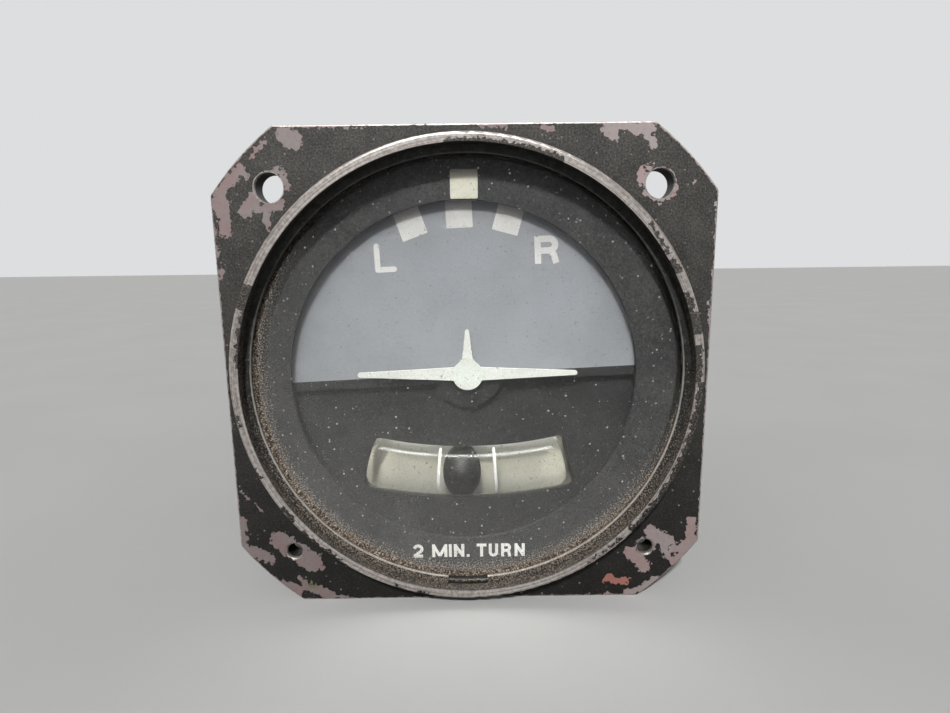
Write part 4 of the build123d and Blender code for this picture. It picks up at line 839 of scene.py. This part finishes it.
def plaque(name: str, outline: np.ndarray, back: float, thick: float, turn: float = 0.0) -> bpy.types.Object:
    """A thin flat piece on the dial: its outline is carried from a point in the back, over the edge, to one in front.

    Args:
        name: Name of the piece.
        outline: Points (x, z) of its edge, star shaped about their mean.
        back: Depth of its back face.
        thick: Thickness towards the pilot.
        turn: Turn about the instrument's axis, anticlockwise in degrees.

    Returns:
        The object.
    """
    turned = math.radians(turn)
    spin = np.array([[math.cos(turned), math.sin(turned)], [-math.sin(turned), math.cos(turned)]])
    flat = outline @ spin
    middle = flat.mean(0)
    inset = min(thick * 0.5, 0.05)
    shrink = middle + (flat - middle) * (1 - inset / np.linalg.norm(flat - middle, axis=1, keepdims=True))
    front = back - thick
    steps = [(middle, back), (flat, back), (flat, front + inset * 0.5), (shrink, front), (middle, front)]
    count = len(flat)
    rows = [np.stack([np.broadcast_to(p[..., 0], count), np.full(count, y), np.broadcast_to(p[..., 1], count)], -1)
            for p, y in steps]
    return smooth_surface(name, np.stack(rows), (False, True), 12.0)


def ribbon(name: str, path: np.ndarray, half: float, back: float, thick: float, round_ends: bool) -> bpy.types.Object:
    """A painted stroke: a flat band carried along a path, half its width to each side of the path's own direction.

    Args:
        name: Name of the piece.
        path: Points (x, z) along the middle of the stroke.
        half: Half the stroke's width.
        back: Depth of its back face.
        thick: Thickness towards the pilot.
        round_ends: Half circles at the ends, or square ones.

    Returns:
        The object.
    """
    along = np.gradient(path, axis=0)
    along /= np.linalg.norm(along, axis=1, keepdims=True)
    side = np.stack([-along[:, 1], along[:, 0]], -1)
    width = np.full(len(path), half)
    centre = path.copy()
    if round_ends:
        cap = np.linspace(0, math.pi / 2, 7)
        start = path[0] - along[0] * (half * np.cos(cap))[:, None]
        end = path[-1] + along[-1] * (half * np.sin(cap))[:, None]
        centre = np.concatenate([start, path[1:-1], end])
        side = np.concatenate([np.repeat(side[:1], 7, 0), side[1:-1], np.repeat(side[-1:], 7, 0)])
        width = np.concatenate([half * np.sin(cap), width[1:-1], half * np.cos(cap)])
    width = np.maximum(width, 1e-4)
    corners = [(-1, back), (-1, back - thick), (1, back - thick), (1, back)]
    rows = []
    for sign, y in corners:
        p = centre + side * (sign * width)[:, None]
        rows.append(np.stack([p[:, 0], np.full(len(p), y), p[:, 1]], -1))
    grid = np.stack(rows, 1)
    middle = grid.mean(1, keepdims=True)
    grid = np.concatenate([np.repeat(middle[:1], 4, 1), grid, np.repeat(middle[-1:], 4, 1)])
    return smooth_surface(name, grid, (False, True), 30.0)


def arc(x: float, z: float, wide: float, high: float, first: float, last: float) -> list[tuple[float, float]]:
    """Points of an elliptic arc in a letter.

    Args:
        x: Its centre.
        z: Its centre.
        wide: Half its width.
        high: Half its height.
        first: First angle in degrees.
        last: Last angle in degrees.

    Returns:
        Thirteen points.
    """
    turn = np.radians(np.linspace(first, last, 13))
    return list(zip(x + wide * np.cos(turn), z + high * np.sin(turn)))


# Letters as strokes between the middles of their outer strokes, both ways from 0 to 1
GLYPHS = {
    "2": ([*arc(0.5, 0.68, 0.5, 0.32, 170, -38), (0.04, 0.04)], [(-0.12, 0.0), (0.5, 0.0), (1.12, 0.0)]),
    "M": ([(0, -0.12), (0, 0.5), (0, 1.12)], [(0.0, 1.0), (0.25, 0.5), (0.5, 0.0)],
          [(1.0, 1.0), (0.75, 0.5), (0.5, 0.0)], [(1, -0.12), (1, 0.5), (1, 1.12)]),
    "L": ([(0, 1), (0, 0.5), (0, 0)], [(0, 0), (0.5, 0), (1, 0)]),
    "I": ([(0, -0.12), (0, 0.5), (0, 1.12)],),
    "N": ([(0, -0.12), (0, 0.5), (0, 1.12)], [(0.0, 1.0), (0.5, 0.5), (1.0, 0.0)], [(1, -0.12), (1, 0.5), (1, 1.12)]),
    "T": ([(-0.16, 1), (0.5, 1), (1.16, 1)], [(0.5, -0.12), (0.5, 0.5), (0.5, 1.0)]),
    "U": ([(0, 1.12), (0, 0.7), *arc(0.5, 0.32, 0.5, 0.32, 180, 360), (1, 0.7), (1, 1.12)],),
    "R": ([(0, -0.14), (0, 0.5), (0, 1.14)],
          [(-0.1, 1), (0.4, 1), *arc(0.62, 0.73, 0.34, 0.27, 85, -85), (0.4, 0.46), (0, 0.46)],
          [(0.6, 0.5), (0.86, 0.3), (1.0, -0.14)]),
}


@dataclass
class Assembly:
    """What every sub-assembly shares: the node groups, and how pieces are dressed."""

    effects: Effects
    made: list[str] = field(default_factory=list)

    def dress(self, piece: bpy.types.Object, finish: Finish, body: Body, slot: Slot, *stands_for: str) -> None:
        """Gives a new piece its finish and its body, and hides the nodes that it stands for.

        Args:
            piece: The new piece.
            finish: Its finish.
            body: The body it rides on.
            slot: The record's slot; not used.
            *stands_for: CAD nodes that it replaces.
        """
        piece.data.materials.clear()
        piece.data.materials.append(finish.make(self.effects))
        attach(piece, body.value)
        if stands_for:
            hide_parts(*stands_for)
        self.made.append(piece.name)

    def finish_nodes(self, finish: Finish, *names: str) -> None:
        """Gives CAD nodes a finish.

        Args:
            finish: Their finish.
            *names: The nodes.
        """
        for name in names:
            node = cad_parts[name]
            node.data.materials.clear()
            node.data.materials.append(finish.make(self.effects))
            self.made.append(name)


@dataclass
class Case(Assembly):
    """Flange, rim and can, with the cover and what is on it."""

    chips: tuple[tuple[float, ...], ...] = (
        (-27.9, 39.1, -27.0, 38.6, 1.49), (-29.1, 40.1, -27.4, 40.0, 0.55), (-28.0, 40.7, -15.4, 40.5, 0.25),
        (-34.0, 36.3, -31.6, 38.4, 0.42), (-39.2, 29.1, -39.3, 27.7, 1.36), (-39.4, 30.5, -36.7, 33.4, 0.88),
        (-38.9, 26.9, -38.9, 24.7, 1.01), (-35.7, 34.5, -35.0, 33.4, 0.64), (-35.3, 27.8, -33.5, 30.0, 1.15),
        (-33.3, 28.0, -29.6, 28.7, 0.74), (-32.1, 27.0, -31.9, 25.6, 0.65), (-29.0, 33.0, -28.4, 31.6, 0.64),
        (-31.6, 33.8, -29.2, 34.0, 0.42), (-39.9, 18.8, -40.2, 17.7, 0.52), (-40.6, 25.9, -40.4, 19.8, 0.21),
        (22.4, 40.2, 29.4, 40.0, 0.68), (23.2, 39.1, 23.5, 38.8, 0.88), (27.1, 39.8, 29.1, 39.1, 0.79),
        (29.6, 38.3, 29.9, 37.1, 0.71), (28.2, 33.5, 28.6, 31.6, 0.7), (29.3, 33.8, 29.9, 33.8, 0.42),
        (29.1, 30.1, 31.4, 28.9, 0.49), (31.4, 28.9, 33.1, 29.9, 0.58), (33.8, 30.6, 33.9, 31.4, 0.32),
        (36.8, 31.4, 36.9, 31.4, 0.32), (40.8, 18.2, 41.0, 15.2, 0.41), (2.7, 40.5, 6.5, 40.4, 0.36),
        (12.2, 40.3, 14.2, 40.0, 0.36), (40.5, 28.7, 41.0, 22.4, 0.21), (-33.7, -29.4, -28.2, -33.7, 1.84),
        (-40.7, -25.6, -40.5, -30.2, 0.92), (-39.9, -31.0, -35.9, -32.6, 1.13), (-33.9, -37.5, -30.9, -39.4, 0.76),
        (-37.0, -35.3, -31.0, -40.1, 0.29), (-29.8, -38.2, -25.5, -40.0, 0.9), (-24.6, -40.2, -21.6, -40.9, 0.46),
        (-30.8, -36.4, -29.8, -37.6, 0.46), (-37.6, -22.1, -36.6, -23.8, 0.19), (-40.0, -20.0, -38.9, -21.5, 0.21),
        (32.2, -28.4, 35.3, -30.2, 1.1), (28.9, -32.6, 31.3, -35.0, 1.19), (31.6, -31.1, 31.7, -31.1, 1.7),
        (34.8, -31.7, 35.6, -33.3, 0.64), (39.5, -26.4, 39.4, -30.2, 0.82), (36.8, -31.9, 40.0, -30.4, 0.9),
        (36.5, -34.2, 39.5, -32.1, 0.72), (24.2, -37.8, 25.6, -37.2, 0.54), (25.6, -37.8, 28.2, -38.0, 0.73),
        (24.6, -40.8, 25.8, -40.8, 0.37), (28.3, -40.4, 30.8, -39.9, 0.64), (30.8, -39.7, 33.6, -37.9, 0.73),
        (40.8, -22.6, 41.0, -17.1, 0.23), (40.4, 12.6, 41.0, 5.9, 0.22),
    )
    patches: tuple[tuple[float, ...], ...] = (
        (66, 95, -0.5, 0.62), (32, 41, 0.3, 0.9), (27, 31, -0.5, 0.9), (16, 22, -0.5, 1.0), (11, 16.5, -0.5, 2.2),
        (-1, 8.5, -0.5, 1.1), (-44, -1, 0.3, 2.2), (-58, -46, 0.7, 1.1), (-104, -101, 0.9, 2.0), (-110, -107, 1.0, 1.6),
        (-138, -123, 1.0, 2.2), (-146, -141, 0.7, 1.5), (-158, -155, 1.0, 2.0), (-172, -169, 0.8, 1.3),
        (155, 161.5, -0.5, 2.2), (161, 176, -0.5, 0.6),
    )

    def build(self) -> None:
        """Dresses the case and the back."""
        patches = tuple(RimPatch(*numbers) for numbers in self.patches)
        enamel = CaseEnamel("charcoal_enamel", chips=self.chips, patches=patches)
        self.finish_nodes(enamel, "case", "rear_cover")
        self.finish_nodes(Metal("plain_steel"), "cover_screws", "receptacle_shell")
        self.finish_nodes(Plastic("cover_rubber", colour=srgb(26, 26, 26)), "cover_gasket")
        self.finish_nodes(Metal("dull_aluminium", colour=srgb(172, 172, 170), rough=0.42), "data_plate")
        self.finish_nodes(Plastic("insert_plastic", colour=srgb(40, 44, 42), rough=0.4), "receptacle_insert")
        gold = Metal("gold_contact", colour=srgb(214, 172, 96), stain=srgb(160, 120, 70), rough=0.25)
        self.finish_nodes(gold, "contact_pins")


@dataclass
class Window(Assembly):
    """Glass, its gasket, the split ring that holds it, and the dirt that has settled on it."""

    ring_inner: float = 36.3
    ring_outer: float = 38.35
    ring_front: float = -0.85
    ring_back: float = 0.04
    ring_corner: float = 0.16
    gap_half: float = 3.6
    gap_shift: float = -0.4
    film_depth: float = 0.02
    bank_wide: float = 1.15
    bank_high: float = 0.34

    def build(self) -> None:
        """Makes the ring, the dust film and the bank of dirt, and dresses the glass."""
        self.finish_nodes(Glass("window_clear"), "window_glass")
        self.finish_nodes(Plastic("gasket_rubber"), "glass_gasket")
        self.dress(self._ring(), RingSteel("ring_steel", inner=self.ring_inner), Body.BASE, Slot.STEEL, "snap_ring")
        self.dress(self._film(), DustFilm("dust_film"), Body.BASE, Slot.GLASS)
        self.dress(self._bank(), PackedDust("packed_dust"), Body.BASE, Slot.RUBBER)

    def _ring(self) -> bpy.types.Object:
        """The split ring: a rounded box profile carried round the axis, closed to a point in the middle of each end."""
        middle = (self.ring_inner + self.ring_outer) / 2, (self.ring_front + self.ring_back) / 2
        half = (self.ring_outer - self.ring_inner) / 2, (self.ring_back - self.ring_front) / 2
        section = rounded_box(half[0], half[1], self.ring_corner)
        first = math.asin((self.gap_half + self.gap_shift) / middle[0])
        last = TURN - math.asin((self.gap_half - self.gap_shift) / middle[0])
        around = np.linspace(first, last, 361) - math.pi / 2
        keep = np.concatenate([[0.0], np.ones(len(around)), [0.0]])[:, None]
        around = np.concatenate([around[:1], around, around[-1:]])[:, None]
        radius = middle[0] + section[None, :, 0] * keep
        depth = middle[1] + section[None, :, 1] * keep
        grid = np.stack([radius * np.cos(around), depth + 0 * around, radius * np.sin(around)], -1)
        return smooth_surface("retaining_ring", grid, (False, True), 50.0)

    def _film(self) -> bpy.types.Object:
        """The film of dust: a flat disc in rings about the axis, just in front of the glass."""
        around = np.linspace(0, TURN, 97)[:-1][:, None]
        radius = np.linspace(0.0, self.ring_inner - 0.02, 13)[None, :]
        grid = np.stack([radius * np.cos(around), np.full((96, 13), self.film_depth), radius * np.sin(around)], -1)
        piece = smooth_surface("dust_film", grid, (True, False))
        for face in piece.data.polygons[:1]:
            if face.normal.y > 0:
                piece.data.flip_normals()
        return piece

    def _bank(self) -> bpy.types.Object:
        """Dirt in the corner between glass and ring: a low hill round the edge.

        Its height is the sum of a few sines round the axis, more at the left and the bottom, over a half wave across.
        """
        around = np.linspace(0, TURN, 721)[:-1][:, None]
        across = np.linspace(0, 1, 9)[None, :]
        rng = np.random.default_rng(7)
        heights, counts, starts = (0.2, 0.16, 0.14, 0.12, 0.1), (7, 17, 41, 83, 131), rng.uniform(0, TURN, 5)
        waves = sum(a * np.sin(k * around + p) for a, k, p in zip(heights, counts, starts))
        heavy = 0.5 + 0.5 * np.cos(around - math.radians(215))
        size = np.clip(0.1 + 0.9 * heavy + 0.4 * waves, 0.05, 1.2)
        rough = rng.normal(0, 0.045, (720, 9)) * np.sin(across * math.pi)
        radius = self.ring_inner + 0.15 - across * self.bank_wide * size
        height = self.bank_high * size * (np.cos(across * math.pi / 2) ** 1.5) + rough
        top = self.ring_back - np.maximum(height, 0.0) - 0.001
        front = np.stack([radius * np.cos(around), top, radius * np.sin(around)], -1)
        back = front[:, ::-1].copy()
        back[..., 1] = self.ring_back - 0.0005
        return smooth_surface("dust_bank", np.concatenate([front, back], 1), (True, True), 60.0)


@dataclass
class Dial(Assembly):
    """Turning disc with its marks, the fixed mask with its index and legend, and the fixed aeroplane."""

    bank: float = 2.3
    disc_front: float = 4.0
    mask_front: float = 2.3
    mark_half: float = 2.22
    mark_inner: float = 25.0
    mark_outer: float = 30.5
    mark_spacing: float = 17.5
    paint_thick: float = 0.03
    stud_r: float = 3.0
    stud_depths: tuple[float, float] = (2.07, 2.58)
    index_half: tuple[float, float] = (2.25, 2.34)
    index_place: tuple[float, float] = (-0.17, 31.85)
    legend_half: float = 0.27
    legend_heights: tuple[float, float] = (-33.75, -31.2)
    legend_places: tuple[tuple[str, float, float], ...] = (
        ("2", -10.4, -8.5), ("M", -6.9, -4.15), ("I", -3.6, -3.6), ("N", -2.95, -1.05), ("T", 1.15, 3.05),
        ("U", 3.4, 5.1), ("R", 5.65, 7.5), ("N", 8.1, 9.95),
    )
    dot_place: float = -0.36

    def build(self) -> None:
        """Makes the painted marks and dresses the disc, mask and aeroplane."""
        self.finish_nodes(HalfDisc("half_disc", bank=self.bank), "horizon_disc")
        black = Paint("mask_black", colour=srgb(36, 36, 37), aged=srgb(46, 45, 44), grain=0.36, specks=0.5,
                      tones=(0.3, 2.0))
        ground = Paint("ground_black", colour=srgb(28, 28, 29), aged=srgb(38, 38, 38), specks=0.3, tones=(0.4, 1.8))
        self.finish_nodes(black, "dial_mask")
        self.finish_nodes(ground, "ground_plate")
        white = Paint("white_marking", colour=srgb(212, 209, 207), aged=srgb(203, 199, 197))
        cream = Paint("cream_marking", colour=srgb(212, 207, 192), aged=srgb(200, 195, 180))
        plane = Paint("aeroplane_white", colour=srgb(219, 220, 215), aged=srgb(212, 212, 205))
        self.finish_nodes(plane, "aircraft_symbol")
        self.dress(self._stud(), Glass("stud_clear", ior=1.08), Body.BASE, Slot.GLASS, "symbol_stud")
        for index, place in enumerate((-1, 0, 1)):
            self.dress(self._mark(index, place), white, Body.DIAL, Slot.WHITE)
        self.dress(self._index(), cream, Body.BASE, Slot.CREAM)
        for piece in self._letters():
            self.dress(piece, white, Body.DIAL, Slot.WHITE)
        legend = Paint("legend_white", colour=srgb(238, 236, 231), aged=srgb(226, 223, 216))
        for piece in self._legend():
            self.dress(piece, legend, Body.BASE, Slot.WHITE)

    def _mark(self, index: int, place: int) -> bpy.types.Object:
        """One of the three white squares at the top of the disc, turned about the axis from the top."""
        middle = (self.mark_inner + self.mark_outer) / 2
        outline = rounded_box(self.mark_half, (self.mark_outer - self.mark_inner) / 2, 0.15) + (0, middle)
        turn = self.bank - place * self.mark_spacing
        return plaque(f"disc_mark_{index}", outline, self.disc_front, self.paint_thick, turn)

    def _stud(self) -> bpy.types.Object:
        """The clear stud: a profile of radius and depth turned about the axis, clear of the glass and the aeroplane."""
        radius = np.array([0.0, self.stud_r - 0.08, self.stud_r, self.stud_r, self.stud_r - 0.05, 0.0])
        front, back = self.stud_depths
        depth = np.array([front, front, front + 0.06, back - 0.05, back, back])
        around = np.linspace(0, TURN, 65)[:-1][:, None]
        grid = np.stack([radius * np.cos(around), depth + 0 * around, radius * np.sin(around)], -1)
        return smooth_surface("clear_stud", grid, (True, False), 50.0)

    def _index(self) -> bpy.types.Object:
        """The cream square on the mask."""
        outline = rounded_box(*self.index_half, 0.3) + self.index_place
        return plaque("index_square", outline, self.mask_front, 0.12)

    def _letters(self) -> list[bpy.types.Object]:
        """The letters L and R of the turn's side, on the disc's paint and leaning with it."""
        lean = math.radians(self.bank)
        spin = np.array([[math.cos(lean), math.sin(lean)], [-math.sin(lean), math.cos(lean)]])
        letters = (("L", (-13.68, 20.18), (2.75, 3.95), 0.46, True), ("R", (13.7, 21.22), (3.1, 3.6), 0.53, False))
        pieces = []
        for letter, middle, size, half, soft in letters:
            for index, path in enumerate(GLYPHS[letter]):
                stroke = ((np.array(path) - 0.5) * size) @ spin + middle
                name = f"letter_{letter.lower()}_{index}"
                pieces.append(ribbon(name, stroke, half, self.disc_front - 0.003 * index, self.paint_thick, soft))
        return pieces

    def _legend(self) -> list[bpy.types.Object]:
        """The words on the mask: each letter's strokes, scaled to its own place between the stroke's middles."""
        half = self.legend_half
        low, high = self.legend_heights
        pieces = []
        for number, (letter, left, right) in enumerate(self.legend_places):
            across = max(right - left - 2 * half, 0.0)
            for index, path in enumerate(GLYPHS[letter]):
                start = left + half if across else left
                stroke = np.array(path) * (across, high - low - 2 * half) + (start, low + half)
                name = f"legend_{number}_{index}"
                pieces.append(ribbon(name, stroke, half, self.mask_front - 0.003 * index, self.paint_thick, False))
        dot = rounded_box(half, half - 0.01, 0.08) + (self.dot_place, low + half - 0.01)
        pieces.append(plaque("legend_dot", dot, self.mask_front, self.paint_thick))
        return pieces


@dataclass
class Inclinometer(Assembly):
    """Bent tube full of liquid, with its ball, lines, pads and cradle."""

    bend_height: float = 60.3
    bend_r: float = 79.0
    ends: tuple[float, float] = (-18.3, 17.35)
    line_places: tuple[float, float] = (-5.45, 4.78)
    line_half: float = 0.27
    line_turn: tuple[float, float] = (-158.0, -38.0)
    depth: float = 7.3
    tube_r: float = 4.79
    end_round: float = 2.0

    def build(self) -> None:
        """Makes the filled tube and dresses what is in and round it."""
        liquid = Glass("filled_tube", colour=srgb(248, 248, 245), ior=1.45, upper_rough=0.12, inner_rough=0.5)
        self.dress(self._tube(), liquid, Body.BASE, Slot.GLASS, "inclinometer_tube")
        white = Paint("line_white", colour=srgb(216, 216, 212))
        for index, (x, stands_for) in enumerate(zip(self.line_places, (["tube_index_lines"], []))):
            self.dress(self._line(index, x), white, Body.BASE, Slot.WHITE, *stands_for)
        black = Plastic("ball_black", colour=srgb(16, 16, 17), bloom=srgb(24, 24, 26), rough=0.45, relief=0.0)
        self.finish_nodes(black, "slip_ball")
        self.finish_nodes(CradleCreamAndPaintedLight("cradle_cream_painted_light"), "tube_cradle")
        self.finish_nodes(Plastic("pad_rubber"), "tube_end_pads")

    def _tube(self) -> bpy.types.Object:
        """The tube's outside: a circle carried along an arc, its radius falling in a quarter circle at each end."""
        first, last = (math.asin(x / self.bend_r) for x in self.ends)
        cap = np.linspace(0, math.pi / 2, 10)
        end = self.end_round / self.bend_r
        angles = np.concatenate([first + end * (1 - np.cos(cap)), np.linspace(first + end, last - end, 80)[1:-1],
                                 last - end * (1 - np.cos(cap[::-1]))])
        radii = np.concatenate([self.tube_r - self.end_round * (1 - np.sin(cap)), np.full(78, self.tube_r),
                                self.tube_r - self.end_round * (1 - np.sin(cap[::-1]))])
        angles = np.concatenate([angles[:1], angles, angles[-1:]])[:, None]
        radii = np.concatenate([[0.0], radii, [0.0]])[:, None]
        around = np.linspace(0, TURN, 65)[:-1][None, :]
        grid = self._bent(angles, radii * np.cos(around), radii * np.sin(around))
        return smooth_surface("liquid_tube", grid, (False, True), 50.0)

    def _bent(self, angle: np.ndarray, out: np.ndarray, behind: np.ndarray) -> np.ndarray:
        """Points at an angle along the bend, so far out from its radius and behind the tube's middle."""
        away = self.bend_r + out
        points = [away * np.sin(angle), self.depth + behind, self.bend_height - away * np.cos(angle)]
        return np.stack(np.broadcast_arrays(*points), -1)

    def _line(self, index: int, x: float) -> bpy.types.Object:
        """One white line: a thin band round the front of the tube, drawn in to its middle at both ends."""
        around = np.radians(np.linspace(*self.line_turn, 33))
        keep = np.concatenate([[0.0], np.ones(33), [0.0]])[:, None]
        around = np.concatenate([around[:1], around, around[-1:]])[:, None]
        side = np.array([-1, -1, 1, 1])[None, :] * self.line_half * keep
        out = self.tube_r + 0.02 + np.array([-0.01, 0.015, 0.015, -0.01])[None, :] * keep
        angle = math.asin(x / self.bend_r) + side / self.bend_r
        grid = self._bent(angle, out * np.cos(around), out * np.sin(around))
        return smooth_surface(f"tube_line_{index}", grid, (False, True), 40.0)


@dataclass
class Mechanism(Assembly):
    """Everything behind the dial: plates, gear train, gimbal, gyroscope, damper and electrical parts."""

    def build(self) -> None:
        """Dresses the mechanism's nodes by their metal."""
        finishes = (
            (Metal("turned_brass", colour=srgb(196, 164, 98), stain=srgb(140, 110, 66), rough=0.3),
             "dial_hub dial_counterweight dial_gear dial_bearings dial_posts idler_wheel idler_pinion idler_bearings "
             "pivot_bearings sector_gear bridge_posts spring_anchor rotor"),
            (Metal("copper_wire", colour=srgb(184, 110, 70), stain=srgb(120, 66, 40), rough=0.35),
             "rotor_winding commutator"),
            (Metal("magnet_grey", colour=srgb(96, 98, 102), stain=srgb(70, 70, 72), rough=0.5), "field_magnet"),
            (Plastic("carbon_black", colour=srgb(34, 34, 35), rough=0.5), "brushes"),
            (Plastic("phenolic_brown", colour=srgb(92, 58, 34), bloom=srgb(110, 74, 46), rough=0.4),
             "brush_holder terminal_board"),
            (Metal("machined_steel", colour=srgb(168, 168, 168), stain=srgb(110, 106, 100), rough=0.34),
             "dial_shaft idler_shaft gimbal_pins rotor_axle rotor_bearings damper_piston centring_spring stop_pins "
             "post_nuts mechanism_screws filter_capacitor"),
            (Metal("machined_aluminium", colour=srgb(186, 187, 188), stain=srgb(150, 150, 150), rough=0.4),
             "front_plate rear_plate gimbal pivot_bridge frame_posts damper_bracket damper_cylinder"),
            (Plastic("lead_sleeve", colour=srgb(160, 40, 34), bloom=srgb(130, 34, 30), rough=0.45),
             "board_leads gimbal_leads"),
        )
        for finish, names in finishes:
            self.finish_nodes(finish, *names.split())


@dataclass
class Studio:
    """Floor, lamps, background and the camera that stands where the photographer's did."""

    floor_height: float = -40.9
    floor_reach: float = 3000.0
    floor_colour: Colour = srgb(214, 214, 212)
    camera_place: tuple[float, float, float] = (1.069, -93.04, 19.59)
    tilt: float = 0.1702
    yaw: float = 0.0047
    roll: float = -0.0119
    lens: float = 21.22
    key_towards: tuple[float, float, float] = (-0.1, -0.715, 0.69)
    key_strength: float = 2.1
    key_wide: float = 4.0
    strip_place: tuple[float, float, float] = (0.0, -131.0, 569.0)
    strip_sides: tuple[float, float] = (290.0, 130.0)
    strip_watts: float = 3.2

    def build(self, effects: Effects) -> None:
        """Makes the floor, the light and the camera.

        Args:
            effects: Shared node groups.
        """
        reach, height = self.floor_reach, self.floor_height
        corners = [[(x, y, height) for y in (-reach, reach)] for x in (-reach, reach)]
        floor = smooth_surface("studio_floor", np.array(corners), (False, False))
        if floor.data.polygons[0].normal.z < 0:
            floor.data.flip_normals()
        floor.data.materials.append(PaleFloor("floor_pale", colour=self.floor_colour).make(effects))
        self._sun("key", self.key_towards, self.key_strength, self.key_wide)
        self._strip("strip", self.strip_place, self.strip_sides, self.strip_watts)
        self._world()
        self._camera()

    def _sun(self, name: str, towards: tuple[float, float, float], strength: float, wide: float) -> None:
        """A large far lamp, even over the floor.

        Args:
            name: Its name.
            towards: Direction from the dial to it.
            strength: Its strength.
            wide: How wide it looks, in degrees.
        """
        data = bpy.data.lights.new(name, "SUN")
        data.energy = strength
        data.angle = math.radians(wide)
        self._hang(name, data, Vector(towards))

    def _strip(self, name: str, place: tuple[float, float, float], sides: tuple[float, float], watts: float) -> None:
        """A lamp high above that only mirrors show: the bright line along the tube is its image.

        Args:
            name: Its name.
            place: Its place.
            sides: Its length and width.
            watts: Its power.
        """
        data = bpy.data.lights.new(name, "AREA")
        data.shape = "RECTANGLE"
        data.size, data.size_y = sides[0] * MM, sides[1] * MM
        data.energy = watts
        self._hang(name, data, Vector(place) * MM).visible_diffuse = False

    def _hang(self, name: str, data: bpy.types.Light, place: Vector) -> bpy.types.Object:
        """Sets a lamp in its place, looking at the dial."""
        lamp = bpy.data.objects.new(name, data)
        lamp.location = place
        lamp.rotation_euler = (Vector((0, 0.02, 0)) - lamp.location).to_track_quat("-Z", "Y").to_euler()
        bpy.context.scene.collection.objects.link(lamp)
        return lamp

    def _world(self) -> None:
        """Dim even light from all round, pale where the camera, glass or a mirror looks at it."""
        world = bpy.data.worlds.new("studio")
        bpy.context.scene.world = world
        world.use_nodes = True
        g = Graph(world.node_tree)
        rays = g.add("LightPath").outputs
        ahead = g.split(g.add("TexCoord").outputs["Generated"])[1]
        mirrored = g.most(rays["Is Glossy Ray"], rays["Is Transmission Ray"])
        shown = g.step(ahead, -0.1, 0.5, 0.19, 0.9)
        strength = g.between(mirrored, 0.3, shown)
        ground = world.node_tree.nodes["Background"]
        ground.inputs["Color"].default_value = srgb(226, 227, 228)
        g.feed(ground.inputs["Strength"], g.between(rays["Is Camera Ray"], strength, 0.95))

    def _camera(self) -> None:
        """The camera: turned by its roll, then its yaw, then its tilt."""
        data = bpy.data.cameras.new("camera")
        data.sensor_width = 36.0
        data.lens = self.lens
        data.clip_start = 0.005
        camera = bpy.data.objects.new("camera", data)
        tilt, yaw, roll = ((self.tilt, "X"), (self.yaw, "Z"), (self.roll, "Y"))
        turn = (Matrix.Rotation(tilt[0], 3, tilt[1]) @ Matrix.Rotation(yaw[0], 3, yaw[1])
                @ Matrix.Rotation(roll[0], 3, roll[1])).transposed()
        axes = Matrix((turn.col[0], turn.col[2], -turn.col[1])).transposed()
        camera.matrix_world = Matrix.Translation(Vector(self.camera_place) * MM) @ axes.to_4x4()
        bpy.context.scene.collection.objects.link(camera)
        bpy.context.scene.camera = camera


def main() -> None:
    """Builds each sub-assembly in order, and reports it."""
    logging.basicConfig(level=logging.INFO, format="%(message)s")
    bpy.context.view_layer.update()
    bpy.context.scene.view_settings.view_transform = "Standard"
    effects = Effects()
    Studio().build(effects)
    for part in (Case(effects), Window(effects), Dial(effects), Inclinometer(effects), Mechanism(effects)):
        part.build()
        LOG.info("%s: %s", type(part).__name__, ", ".join(part.made))


if __name__ == "__main__":
    main()
